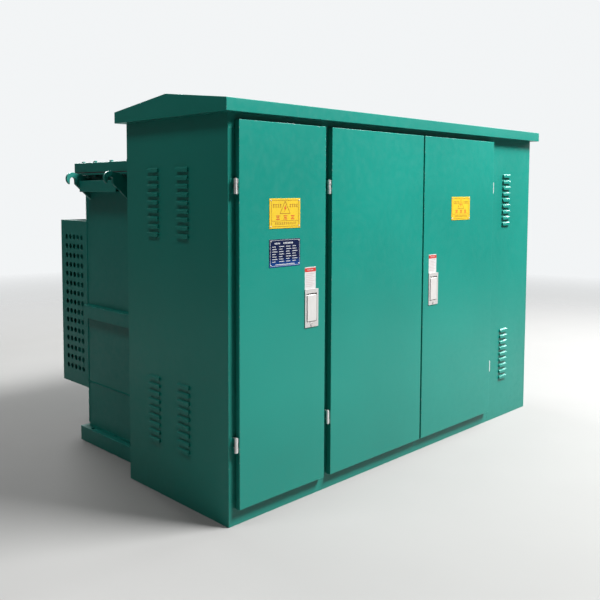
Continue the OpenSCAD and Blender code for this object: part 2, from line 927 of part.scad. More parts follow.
module core_clamps() {
    margin = 15;
    color("saddlebrown") for (s = [-1, 1]) {
        y0 = core_y + s * (core_t / 2 + clamp_t / 2) - clamp_t / 2;
        for (z = [core_z, core_z + core_h - yoke_h])
            box([-core_w / 2 - margin, y0, z + margin],
                [core_w / 2 + margin, y0 + clamp_t, z + yoke_h - margin]);
        box([s * limb_pitch - 60, core_y - core_t / 2, base_h + tank_floor],
            [s * limb_pitch + 60, core_y + core_t / 2, core_z]);
    }
}

module coil(r) {
    for (x = limb_xs) translate([x, core_y, core_z + yoke_h + coil_gap]) difference() {
        cylinder(r = r[1], h = window_h - 2 * coil_gap, $fn = 96);
        translate([0, 0, -1]) cylinder(r = r[0], h = window_h, $fn = 96);
    }
}

module lv_coils() {
    color("tan") coil(lv_coil_r);
}

module hv_coils() {
    color("peru") coil(hv_coil_r);
}

// ---- High-voltage fittings ----

module hv_bushings() {
    color("maroon") for (x = phase_x) on_wall([x, bushing_z]) difference() {
        union() {
            translate([0, 0, -60]) cylinder(r = 25, h = 70);
            cylinder(r = 52, h = 12);
            translate([0, 0, 12]) cylinder(r1 = 44, r2 = 36, h = 60);
            translate([0, 0, 72]) cylinder(r = 28, h = 50);
        }
        translate([0, 0, 82]) cylinder(r = 12, h = 50);
    }
}

module fuse_holders() {
    depth = fuse_rod - holder_out + 20;
    color("dimgray") for (x = phase_x) on_wall([x, fuse_z]) difference() {
        union() {
            translate([0, 0, -depth]) cylinder(r = holder_r, h = depth + 1);
            cylinder(r = 42, h = 10);
            cylinder(r = holder_r + 4, h = holder_out);
        }
        translate([0, 0, -depth + 5]) cylinder(r = fuse_bore, h = depth + holder_out);
    }
}

module fuse_stick(x) {
    eye = 22;
    color("darkorange") on_wall([x, fuse_z]) {
        translate([0, 0, holder_out - fuse_rod + 5]) cylinder(r = fuse_r, h = fuse_rod);
        translate([0, 0, holder_out + 0.5]) cylinder(r = fuse_cap_r, h = fuse_cap_t);
        translate([0, 0, holder_out + fuse_cap_t + eye - 3]) rotate([0, 90, 0])
            rotate_extrude() translate([eye - 6, 0]) circle(r = 5, $fn = 24);
    }
}

module fuse_stick_a() {
    fuse_stick(phase_x[0]);
}

module fuse_stick_b() {
    fuse_stick(phase_x[1]);
}

module fuse_stick_c() {
    fuse_stick(phase_x[2]);
}

// A wall-mounted housing with a shaft bore, its flange outside and its box inside the tank
module shaft_housing(shaft_r, hub_out, body) {
    neck = 40;
    difference() {
        union() {
            cylinder(r = shaft_r + 18, h = housing_wall);
            translate([0, 0, -neck]) cylinder(r = shaft_r + housing_wall, h = neck + hub_out);
            translate([-body / 2, -body / 2, -neck - body]) cube([body, body, body + 0.5]);
        }
        translate([0, 0, -1.5 * neck]) cylinder(r = shaft_r + shaft_gap, h = 2 * neck + hub_out);
    }
}

module load_break_switch() {
    color("dimgray") on_wall(switch_at) shaft_housing(switch_shaft_r, switch_hub_out, 120);
}

module tap_changer() {
    color("dimgray") on_wall(tap_at) shaft_housing(tap_shaft_r, tap_hub_out, 90);
}

module switch_handle() {
    arm = 105;
    color("gold") on_wall(switch_at) difference() {
        union() {
            translate([0, 0, -50]) cylinder(r = switch_shaft_r, h = 50 + switch_hub_out + 2);
            translate([0, 0, switch_hub_out + 1]) cylinder(r = 24, h = 22);
            translate([-14, 0, switch_hub_out + 5]) cube([28, arm - 14, 12]);
            translate([0, arm - 14, switch_hub_out + 5]) cylinder(r = 18, h = 12);
        }
        translate([0, arm - 14, switch_hub_out]) cylinder(r = 9, h = 30);
    }
}

module tap_knob() {
    color("firebrick") on_wall(tap_at) {
        translate([0, 0, -50]) cylinder(r = tap_shaft_r, h = 50 + tap_hub_out + 2);
        translate([0, 0, tap_hub_out + 1]) cylinder(r = 20, h = 14);
        translate([-6, -32, tap_hub_out + 1]) cube([12, 64, 20]);
    }
}

// Two round dial gauges on stubs, each with a recessed dial and a spindle
module dial_gauges() {
    color("whitesmoke") for (x = gauge_xs) on_wall([x, gauge_z]) {
        cylinder(r = 14, h = gauge_stub + 1);
        difference() {
            translate([0, 0, gauge_stub]) cylinder(r = gauge_r, h = gauge_d);
            translate([0, 0, gauge_stub + gauge_d - dial_recess]) cylinder(r = gauge_r - 4, h = gauge_d);
        }
        translate([0, 0, gauge_stub + gauge_d - dial_recess - 1]) cylinder(r = needle_r, h = 6);
    }
}

// A balanced gauge pointer: its tail weighs as much as its needle
module pointer(x) {
    color("red") on_wall([x, gauge_z]) translate([0, 0, gauge_stub + gauge_d - dial_recess + 1.5])
        difference() {
            union() {
                cylinder(r = 6, h = 2);
                translate([-1.5, 0, 0]) cube([3, 30, 2]);
                translate([-5.3, -16, 0]) cube([10.6, 16, 2]);
            }
            translate([0, 0, -1]) cylinder(r = needle_r + run_gap, h = 5);
        }
}

module thermometer_pointer() {
    pointer(gauge_xs[0]);
}

module pressure_pointer() {
    pointer(gauge_xs[1]);
}

module sight_glass() {
    color("lightcyan") on_wall(glass_at) difference() {
        cylinder(r = 26, h = 18);
        translate([0, 0, 12]) cylinder(r = 18, h = 10);
    }
}

// The drain valve with its outlet towards the doors, and the pressure relief valve
module tank_valves() {
    color("goldenrod") {
        on_wall(valve_at) {
            cylinder(r = 34, h = 10);
            difference() {
                union() {
                    cylinder(r = 20, h = valve_out + 40);
                    translate([0, 0, valve_out - 30]) cylinder(r = 30, h = 60);
                }
                translate([0, 0, valve_out + 4]) cylinder(r = 12.5, h = 60);
            }
            translate([0, 28, valve_out]) rotate([-90, 0, 0]) difference() {
                cylinder(r = 12, h = bonnet_h);
                translate([0, 0, bonnet_h - stem_in - 2]) cylinder(r = stem_r + shaft_gap, h = stem_in + 3);
            }
        }
        on_wall(relief_at) {
            cylinder(r = 24, h = 8, $fn = 6);
            cylinder(r = 17, h = 34);
            translate([0, 0, 34]) cylinder(r1 = 17, r2 = 11, h = 8);
        }
    }
}

module valve_wheel() {
    color("firebrick") translate([valve_at[0] - side_x, wall_y - valve_out, wheel_z]) {
        cylinder(r = 9, h = 14);
        translate([0, 0, -stem_in]) cylinder(r = stem_r, h = stem_in + 1);
        translate([0, 0, 7]) rotate_extrude() translate([wheel_r, 0]) circle(r = 5, $fn = 24);
        for (a = [0, 90, 180, 270]) rotate([0, 0, a]) translate([5, -3, 4]) cube([wheel_r - 7, 6, 6]);
    }
}

module ground_bar() {
    x0 = ground_xs[0] - side_x;
    x1 = ground_xs[1] - side_x;
    y1 = wall_y - 20;
    n = 4;
    color("peru") {
        difference() {
            box([x0, y1 - bar_t, ground_z - 20], [x1, y1, ground_z + 20]);
            for (i = [0:n - 1]) translate([x0 + 45 + i * 40, y1 + 1, ground_z]) rotate([90, 0, 0])
                cylinder(r = bar_hole_r, h = bar_t + 2);
        }
        for (x = [x0 + 15, x1 - 15]) translate([x, wall_y, ground_z]) rotate([90, 0, 0])
            cylinder(r = 10, h = 20);
    }
}

// ---- Low-voltage fittings ----

module lv_bushings() {
    color("peru") for (x = lv_xs) {
        on_wall([x, lv_z]) {
            translate([0, 0, -50]) cylinder(r = 20, h = 60);
            cylinder(r = 46, h = 12);
            translate([0, 0, 11]) cylinder(r1 = 38, r2 = 30, h = 60);
            translate([0, 0, 70]) cylinder(r = 18, h = 34);
        }
        translate([x - side_x, spade_y, lv_z]) difference() {
            box([-bar_w / 2, 0, -70], [bar_w / 2, spade_t, 30]);
            for (z = spade_zs) translate([0, spade_t + 1, z - lv_z]) rotate([90, 0, 0])
                cylinder(r = bar_hole_r, h = spade_t + 2);
        }
    }
}

module bar_bolt(x, y, z) {
    translate([x, y, z]) rotate([90, 0, 0]) hex_bolt(bar_hole_r - 1, spade_t + bar_t + 4);
}

// Three phase bars down to the breaker, and the neutral bar with its cable pads
module lv_busbars() {
    y1 = spade_y;
    y0 = y1 - bar_t;
    color("peru") for (i = [0:3]) {
        x = lv_xs[i] - side_x;
        low = i == 0 ? 400 : breaker_z[1] + 20;
        difference() {
            box([x - bar_w / 2, y0, low], [x + bar_w / 2, y1, lv_z - 5]);
            for (z = spade_zs) translate([x, y1 + 1, z]) rotate([90, 0, 0])
                cylinder(r = bar_hole_r, h = bar_t + 2);
            if (i > 0) translate([x, y1 + 1, upper_hole_z]) rotate([90, 0, 0])
                cylinder(r = bar_hole_r, h = bar_t + 2);
            if (i == 0) for (z = neutral_zs) translate([x, y1 + 1, z]) rotate([90, 0, 0])
                cylinder(r = bar_hole_r, h = bar_t + 2);
        }
    }
    color("silver") {
        for (x = lv_xs, z = spade_zs) bar_bolt(x - side_x, y0, z);
        for (i = [1:3]) bar_bolt(lv_xs[i] - side_x, y0, upper_hole_z);
    }
}

module terminal(x, z0, z1, hole_z) {
    difference() {
        box([x - bar_w / 2, terminal_y[0], z0], [x + bar_w / 2, terminal_y[1], z1]);
        translate([x, terminal_y[1] + 1, hole_z]) rotate([90, 0, 0])
            cylinder(r = bar_hole_r, h = spade_t + 2);
    }
}

module breaker() {
    x0 = breaker_x - side_x - breaker_w / 2;
    cx = x0 + breaker_w / 2;
    y0 = breaker_y[0];
    color("dimgray") {
        difference() {
            union() {
                box([x0, y0, breaker_z[0]], [x0 + breaker_w, breaker_y[1], breaker_z[1]]);
                box([cx - 90, y0 - 12, toggle_z - 85], [cx + 90, y0 + 1, toggle_z + 85]);
            }
            box([cx - pocket_w / 2, y0 - 13, toggle_z - pocket_h / 2],
                [cx + pocket_w / 2, y0 + pocket_d, toggle_z + pocket_h / 2]);
        }
        translate([cx - pocket_w / 2 - 0.5, toggle_y, toggle_z]) rotate([0, 90, 0])
            cylinder(r = toggle_pin_r, h = pocket_w + 1);
        for (x = [x0 + 30, x0 + breaker_w - 70], z = [breaker_z[0] + 30, breaker_z[1] - 70])
            box([x, breaker_y[1] - 1, z], [x + 40, wall_y, z + 40]);
        for (i = [1:3]) {
            x = lv_xs[i] - side_x;
            terminal(x, breaker_z[1] - 1, breaker_z[1] + 80, upper_hole_z);
            terminal(x, breaker_z[0] - 60, breaker_z[0] + 1, terminal_hole_z);
        }
    }
}

module breaker_toggle() {
    w = pocket_w - 8;
    color("black") translate([breaker_x - side_x, toggle_y, toggle_z]) rotate([-toggle_tilt, 0, 0])
        difference() {
            union() {
                translate([-w / 2, 0, 0]) rotate([0, 90, 0]) cylinder(r = toggle_r, h = w);
                translate([-12, -64, -7]) cube([24, 50, 14]);
            }
            translate([-w, 0, 0]) rotate([0, 90, 0]) cylinder(r = toggle_pin_r + run_gap, h = 2 * w);
        }
}

cabinet_base();
frame_posts();
frame_rails();
left_side_panel();
right_side_panel();
front_right_panel();
roof();
hex_bolts();
compartment_barrier();
door_seals();
frame_hinge_leaves();
hinge_pins();
tank_shell();
tank_cover();
cover_gasket();
tank_ribs();
tank_base();
lifting_hooks();
radiators();
guard_sides();
guard_rear();
core();
core_clamps();
lv_coils();
hv_coils();
hv_bushings();
fuse_holders();
load_break_switch();
tap_changer();
dial_gauges();
sight_glass();
tank_valves();
ground_bar();
lv_bushings();
lv_busbars();
breaker();
hv_door();
hv_hinge_leaves();
hv_lock_plate();
hv_lock_handle();
hv_latch_bolt();
hv_warning_sign();
nameplate();
lv_left_door();
lv_left_hinge_leaves();
lv_right_door();
lv_right_hinge_leaves();
lv_lock_plate();
lv_lock_handle();
lv_latch_bolt();
lv_warning_sign();
fuse_stick_a();
fuse_stick_b();
fuse_stick_c();
switch_handle();
tap_knob();
breaker_toggle();
valve_wheel();
thermometer_pointer();
pressure_pointer();
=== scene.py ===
import json
import math

import bmesh
import bpy
from bpy.props import FloatProperty, FloatVectorProperty, IntProperty, PointerProperty
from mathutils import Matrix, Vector


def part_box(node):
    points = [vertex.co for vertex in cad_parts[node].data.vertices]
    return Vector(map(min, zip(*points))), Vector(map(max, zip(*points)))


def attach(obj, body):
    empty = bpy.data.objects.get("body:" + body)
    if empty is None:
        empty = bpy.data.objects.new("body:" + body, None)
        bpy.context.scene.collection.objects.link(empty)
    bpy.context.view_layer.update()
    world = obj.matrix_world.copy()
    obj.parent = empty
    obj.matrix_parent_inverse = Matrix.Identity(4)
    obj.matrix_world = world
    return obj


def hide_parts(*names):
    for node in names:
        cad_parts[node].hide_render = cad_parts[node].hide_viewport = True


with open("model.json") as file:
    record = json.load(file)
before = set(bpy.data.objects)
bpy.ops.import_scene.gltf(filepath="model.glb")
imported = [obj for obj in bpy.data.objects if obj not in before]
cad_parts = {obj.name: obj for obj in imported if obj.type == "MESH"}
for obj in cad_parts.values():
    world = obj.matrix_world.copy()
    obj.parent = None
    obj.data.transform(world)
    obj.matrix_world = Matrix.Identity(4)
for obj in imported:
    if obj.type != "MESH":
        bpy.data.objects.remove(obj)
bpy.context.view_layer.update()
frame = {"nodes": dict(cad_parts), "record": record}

bl_info = {
    "name": "Pad-mounted transformer",
    "version": (1, 0, 0),
    "blender": (4, 5, 0),
    "location": "View3D > Sidebar > Transformer",
    "description": "Finishes the cabinet, tank and fittings of a pad-mounted transformer",
    "category": "Object",
}

NODES = frame["nodes"]
BODY_OF = {
    node: body
    for body, members in frame["record"]["behaviour"]["bodies"].items()
    for node in members
}
SLOT_OF = {row["node"]: row["material_slot"] for row in frame["record"]["subparts"]}
FIXED = BODY_OF["tank_shell"]

# Faces that meet at more than this are rounded where they meet
SHARP = math.radians(40)
# Faces larger than this, in square metres, are broad
BROAD = 0.01
# Folds that stay sharp in the shading, in radians, between broad faces and between others
BROAD_FOLD = 0.03
SMALL_FOLD = 0.7
# How near to a hinge's axis a face belongs to its knuckles
KNUCKLE_REACH = 0.0078
# Sheet thickness of the signs and the nameplate, how far in from their edges the rivets stand,
# and how far behind the front of the CAD rivets the domes are centred
PLATE_SHEET = 0.0015
RIVET_INSET = 0.0085
RIVET_SEAT = 0.0009
# Thickness of the washers and size of the hex heads. The roof's heads are lower by a washer
WASHER_SHEET = 0.0016
HEX_RADIUS = 0.0114
HEX_HEIGHT = 0.0078
# How far below the tank's top edge its upright welds end
WELD_DROP = 0.015
# How far a dial's marks run from its centre, and how far its needle swings to each side
DIAL_RADIUS = 0.0315
DIAL_SWING = math.radians(120)


# ---------------------------------------------------------------- sizes and colours


class CabinetFinish(bpy.types.PropertyGroup):
    """Paint and edges of the sheet-metal cabinet."""

    green: FloatVectorProperty(
        name="Cabinet green", description="Colour of the baked enamel",
        subtype="COLOR", size=3, default=(0.0045, 0.150, 0.118), min=0, max=1)
    gloss: FloatProperty(
        name="Enamel roughness", description="Roughness of clean enamel",
        subtype="FACTOR", default=0.36, min=0, max=1)
    edge: FloatProperty(
        name="Sheet edge radius", description="Radius of the folded and cut sheet edges",
        subtype="DISTANCE", unit="LENGTH", default=0.0016, min=0.0002, max=0.004)
    # Edge wear sets the chips and how much lighter the edges are painted: partly wear, partly a
    # painted highlight.
    wear_and_highlight: FloatProperty(
        name="Edge wear", description="How much the paint has rubbed through at the edges",
        subtype="FACTOR", default=0.30, min=0, max=1)
    grime: FloatProperty(
        name="Grime", description="Strength of the rain streaks and road dust",
        subtype="FACTOR", default=0.10, min=0, max=1)


class TankFinish(bpy.types.PropertyGroup):
    """Paint, welds and cooling plates of the tank."""

    # The tank green is the cabinet green made a little darker: painted shade for the tank.
    green: FloatVectorProperty(
        name="Tank green", description="Colour of the tank's thicker sprayed paint",
        subtype="COLOR", size=3, default=(0.0035, 0.138, 0.112), min=0, max=1)
    bead: FloatProperty(
        name="Weld bead radius", description="Radius of one ripple in a weld",
        subtype="DISTANCE", unit="LENGTH", default=0.0042, min=0.001, max=0.01)
    bead_pitch: FloatProperty(
        name="Weld ripple pitch", description="Distance between the ripples of a weld",
        subtype="DISTANCE", unit="LENGTH", default=0.0052, min=0.002, max=0.02)
    seam: FloatProperty(
        name="Lower seam height", description="Height of the seam low on the tank's side walls",
        subtype="DISTANCE", unit="LENGTH", default=0.33, min=0.2, max=0.6)
    flutes: IntProperty(
        name="Plate flutes", description="Pressed oil channels in each radiator plate",
        default=4, min=1, max=8)


class FittingSizes(bpy.types.PropertyGroup):
    """Fasteners and markings."""

    washer: FloatProperty(
        name="Washer radius", description="Radius of the washers under the hex heads",
        subtype="DISTANCE", unit="LENGTH", default=0.0135, min=0.008, max=0.02)
    rivet: FloatProperty(
        name="Rivet radius", description="Radius of the domed rivets on the plates",
        subtype="DISTANCE", unit="LENGTH", default=0.0034, min=0.001, max=0.008)
    ticks: IntProperty(
        name="Dial ticks", description="Number of marks round a gauge dial",
        default=25, min=5, max=60)
    ink: FloatProperty(
        name="Print thickness", description="Thickness of printed films and markings",
        subtype="DISTANCE", unit="LENGTH", default=0.00025, min=0.0001, max=0.001)


class StudioSettings(bpy.types.PropertyGroup):
    """Floor, light and camera."""

    key: FloatProperty(
        name="Key light", description="Power of the large light in front of the doors",
        subtype="POWER", unit="POWER", default=2650, min=0, max=10000)
    side: FloatProperty(
        name="Side light", description="Power of the high light over the left-hand end",
        subtype="POWER", unit="POWER", default=115, min=0, max=10000)
    top: FloatProperty(
        name="Top light", description="Power of the light over the right-hand end",
        subtype="POWER", unit="POWER", default=230, min=0, max=10000)
    back: FloatProperty(
        name="Back light", description="Power of the large light behind the radiators",
        subtype="POWER", unit="POWER", default=520, min=0, max=10000)
    sky: FloatProperty(
        name="Surroundings", description="Brightness of the surroundings on the dim side",
        default=0.09, min=0, max=4)
    backdrop: FloatProperty(
        name="Backdrop", description="Brightness of the pale backdrop behind the object",
        default=0.92, min=0, max=4)
    floor: FloatVectorProperty(
        name="Floor colour", description="Colour of the plain floor",
        subtype="COLOR", size=3, default=(0.22, 0.22, 0.216), min=0, max=1)


GROUPS = {
    "cabinet_finish": CabinetFinish,
    "tank_finish": TankFinish,
    "fitting_sizes": FittingSizes,
    "studio_settings": StudioSettings,
}


# ---------------------------------------------------------------- node wiring


class Wire:
    """A socket on its way through a tree, with Python's arithmetic for numbers."""

    def __init__(self, board, socket):
        self.board = board
        self.socket = socket

    def maths(self, operation, first, second=0.0):
        return self.board.node(
            "ShaderNodeMath", {"operation": operation}, {0: first, 1: second})

    def __add__(self, other):
        return self.maths("ADD", self, other)

    def __sub__(self, other):
        return self.maths("SUBTRACT", self, other)

    def __rsub__(self, other):
        return self.maths("SUBTRACT", other, self)

    def __mul__(self, other):
        return self.maths("MULTIPLY", self, other)

    def __truediv__(self, other):
        return self.maths("DIVIDE", self, other)

    def __gt__(self, other):
        return self.maths("GREATER_THAN", self, other)

    def spread(self, low, high, to_low=0.0, to_high=1.0):
        """The number moved from one range to another, and held inside it."""
        return self.board.node(
            "ShaderNodeMapRange", {"clamp": True},
            {0: self, 1: low, 2: high, 3: to_low, 4: to_high})


class Board:
    """A node tree and the one way in which nodes are added to it."""

    def node(self, kind, settings=None, sockets=None, out=0):
        made = self.tree.nodes.new(kind)
        for name, value in (settings or {}).items():
            setattr(made, name, value)
        for key, value in (sockets or {}).items():
            for one in value if isinstance(value, list) else [value]:
                if isinstance(one, Wire):
                    self.tree.links.new(one.socket, made.inputs[key])
                else:
                    made.inputs[key].default_value = one
        return Wire(self, made.outputs[out])


class Finish(Board):
    """A material being built round one Principled shader."""

    def __init__(self, name, **constants):
        self.material = bpy.data.materials.new(name)
        self.material.use_nodes = True
        self.tree = self.material.node_tree
        self.tree.nodes.clear()
        self.end = self.tree.nodes.new("ShaderNodeOutputMaterial")
        self.shader = self.tree.nodes.new("ShaderNodeBsdfPrincipled")
        self.tree.links.new(self.shader.outputs[0], self.end.inputs["Surface"])
        for socket, value in constants.items():
            self.shader.inputs[socket.replace("_", " ")].default_value = value
        self.place = self.node("ShaderNodeTexCoord", out="Object")

    def noise(self, scale, detail=3.0, stretch=(1, 1, 1)):
        where = self.place
        if stretch != (1, 1, 1):
            where = self.node(
                "ShaderNodeMapping", {}, {"Vector": self.place, "Scale": stretch})
        return self.node(
            "ShaderNodeTexNoise", {}, {"Vector": where, "Scale": scale, "Detail": detail})

    def along(self, axis):
        return self.node(
            "ShaderNodeSeparateXYZ", {}, {"Vector": self.place}, out="XYZ".index(axis))

    def mark(self, name):
        return self.node("ShaderNodeAttribute", {"attribute_name": name}, out="Fac")

    def mix(self, share, first, second):
        first, second = (
            (*c, 1.0) if isinstance(c, tuple) and len(c) == 3 else c for c in (first, second))
        return self.node(
            "ShaderNodeMix", {"data_type": "RGBA"}, {0: share, 6: first, 7: second}, out=2)

    def feed(self, socket, value):
        self.tree.links.new(value.socket, self.shader.inputs[socket])

    def bump(self, height, depth):
        self.feed("Normal", self.node(
            "ShaderNodeBump", {}, {"Height": height, "Distance": depth}))


def shade(colour, factor):
    return tuple(min(1.0, c * factor) for c in colour)


def enamel(name, colour, roughness, grime, wear_and_highlight, orange_peel=0.00012):
    """Sprayed enamel: orange peel, rain streaks, dust low down, chipped edges, and edges painted
    lighter, partly rubbed paint and partly a painted highlight.
    """
    f = Finish(name, Specular_IOR_Level=0.32)
    broad = f.noise(1.4, 2.0)
    fine = f.noise(34.0, 4.0)
    streak = f.noise(9.0, 3.0, (1.0, 1.0, 0.05))
    edge = f.mark("edge")
    low = f.along("Z").spread(0.0, 0.55, 1.0, 0.0)
    dust = low * low * fine.spread(0.35, 0.7) * grime
    base = f.mix(broad.spread(0.3, 0.7), shade(colour, 0.92), shade(colour, 1.06))
    base = f.mix(streak.spread(0.56, 0.78, 0.0, grime), base, shade(colour, 0.72))
    base = f.mix(dust * 0.5, base, (0.16, 0.155, 0.13))
    # The rounded edges are painted lighter: partly rubbed paint, partly a painted highlight along
    # them.
    base = f.mix(edge * wear_and_highlight * 0.6, base, shade(colour, 2.1))
    chips = edge * (f.noise(90.0, 3.0) > 0.63) * wear_and_highlight
    base = f.mix(chips, base, (0.30, 0.31, 0.30))
    specks = (f.noise(210.0, 2.0) > 0.735) * 0.35 * grime
    f.feed("Base Color", f.mix(specks, base, (0.20, 0.21, 0.19)))
    f.feed("Roughness", fine.spread(0.3, 0.7, roughness - 0.05, roughness + 0.07) + dust * 0.5)
    peel = f.noise(420.0, 2.0)
    f.bump(peel + f.noise(3.2, 1.0) * 2.5 - chips * 0.8, orange_peel)
    return f.material


def hinge_enamel(name, colour, steel, roughness):
    """Painted hinge leaves with bare turned knuckles, where the barrel mark is set, with painted
    highlights on the leaves' edges and painted shade between the knuckles.
    """
    f = Finish(name, Specular_IOR_Level=0.4)
    barrel, edge = f.mark("barrel"), f.mark("edge")
    cloud = f.noise(40.0, 3.0)
    turned = f.noise(260.0, 3.0, (1, 1, 6))
    paint = f.mix(cloud.spread(0.3, 0.7), shade(colour, 0.9), shade(colour, 1.1))
    # The leaves' rounded edges are painted lighter: a painted highlight.
    paint = f.mix(edge * 0.4, paint, shade(colour, 2.0))
    metal = f.mix(turned.spread(0.35, 0.65), shade(steel, 0.85), shade(steel, 1.1))
    # The knuckles' rounded edges are painted nearly black: painted shade in the gaps between the
    # knuckles.
    metal = f.mix(edge, metal, (0.03, 0.032, 0.03))
    f.feed("Base Color", f.mix(barrel, paint, metal))
    f.feed("Metallic", barrel * 0.35)
    f.feed("Roughness", barrel.spread(0.0, 1.0, roughness, 0.28) + cloud * 0.08)
    f.bump(turned, 0.00003)
    return f.material


def satin_steel(name, colour, roughness):
    """Satin stainless sheet: a soft pale sheen with fine upright brushing and faint smears."""
    f = Finish(name, Metallic=0.35, Specular_IOR_Level=0.5)
    lines = f.noise(420.0, 3.0, (1, 1, 0.04))
    smear = f.noise(30.0, 4.0)
    edge = f.mark("edge")
    base = f.mix(lines.spread(0.35, 0.65), shade(colour, 0.93), shade(colour, 1.05))
    base = f.mix(smear.spread(0.5, 0.8, 0.0, 0.25), base, shade(colour, 0.8))
    f.feed("Base Color", f.mix(edge * 0.6, base, shade(colour, 1.3)))
    f.feed("Roughness", lines.spread(0.3, 0.7, roughness - 0.04, roughness + 0.08))
    f.bump(lines, 0.00002)
    return f.material


def sheened(name, colour, bright, low, high, roughness):
    """A printed metal plate with a painted sheen: its colour lightens from one height down to
    another.
    """
    f = Finish(name, Specular_IOR_Level=0.15)
    cloud = f.noise(22.0, 3.0)
    share = f.along("Z").spread(low, high, 1.0, 0.0) * cloud.spread(0.2, 0.7, 0.7, 1.0)
    base = f.mix(share, colour, bright)
    f.feed("Base Color", f.mix(f.mark("edge") * 0.4, base, (0.20, 0.20, 0.21)))
    f.feed("Roughness", cloud.spread(0.3, 0.7, roughness, roughness + 0.1))
    f.bump(f.noise(500.0, 2.0), 0.00004)
    return f.material


def bare_metal(name, colour, roughness, brush=(1, 1, 1), tarnish=0.3, grain=320.0):
    """Bare or plated metal: brushed or mottled grain, darker tarnish and bright edges."""
    f = Finish(name, Metallic=1.0)
    lines = f.noise(grain, 3.0, brush)
    patches = f.noise(26.0, 4.0)
    edge = f.mark("edge")
    base = f.mix(patches.spread(0.42, 0.72, 0.0, tarnish), colour, shade(colour, 0.55))
    base = f.mix(lines.spread(0.35, 0.65, 0.0, 0.35), base, shade(colour, 0.8))
    f.feed("Base Color", f.mix(edge * 0.5, base, shade(colour, 1.25)))
    f.feed("Roughness", lines.spread(0.3, 0.7, roughness - 0.06, roughness + 0.1)
           + patches.spread(0.5, 0.8, 0.0, 0.15 * tarnish))
    f.bump(lines, 0.00004)
    return f.material


def moulded(name, colour, roughness, coat=0.0, mottle=0.08, grain=650.0, dust=0.15):
    """Plastic, resin, rubber or print: fine moulded grain, soft mottling and rubbed edges."""
    f = Finish(name, IOR=1.5, Coat_Weight=coat, Coat_Roughness=0.12)
    cloud = f.noise(18.0, 3.0)
    pores = f.noise(grain, 2.0)
    edge = f.mark("edge")
    base = f.mix(cloud.spread(0.3, 0.7), shade(colour, 1 - mottle), shade(colour, 1 + mottle))
    base = f.mix(f.noise(60.0, 5.0).spread(0.55, 0.8, 0.0, dust), base, (0.33, 0.32, 0.29))
    f.feed("Base Color", f.mix(edge * 0.35, base, shade(colour, 1.5)))
    f.feed("Roughness", pores.spread(0.3, 0.7, roughness - 0.05, roughness + 0.08))
    f.bump(pores + cloud * 0.5, 0.00006)
    return f.material


def banded(name, colour, dark, pitch, axis, roughness, metallic=0.0):
    """Stacked or wound material: thin bands across an axis, each a little different."""
    f = Finish(name, Metallic=metallic)
    wave = f.node("ShaderNodeMath", {"operation": "SINE"}, {0: f.along(axis) * (math.tau / pitch)})
    band = wave.spread(-1.0, 1.0) * 0.6 + f.noise(12.0, 3.0) * 0.4
    f.feed("Base Color", f.mix(band, dark, colour))
    f.feed("Roughness", band.spread(0.2, 0.8, roughness + 0.1, roughness))
    f.bump(wave, 0.0003)
    return f.material


def clear_glass(name):
    """Gauge glass with a faint green body, dust and wipe marks."""
    f = Finish(name, IOR=1.5, Transmission_Weight=0.85)
    smear = f.noise(40.0, 4.0, (1, 1, 0.3))
    f.feed("Base Color", f.mix(smear.spread(0.4, 0.8), (0.80, 0.92, 0.86), (0.62, 0.70, 0.60)))
    f.feed("Roughness", smear.spread(0.35, 0.75, 0.03, 0.22))
    f.bump(smear, 0.00003)
    return f.material


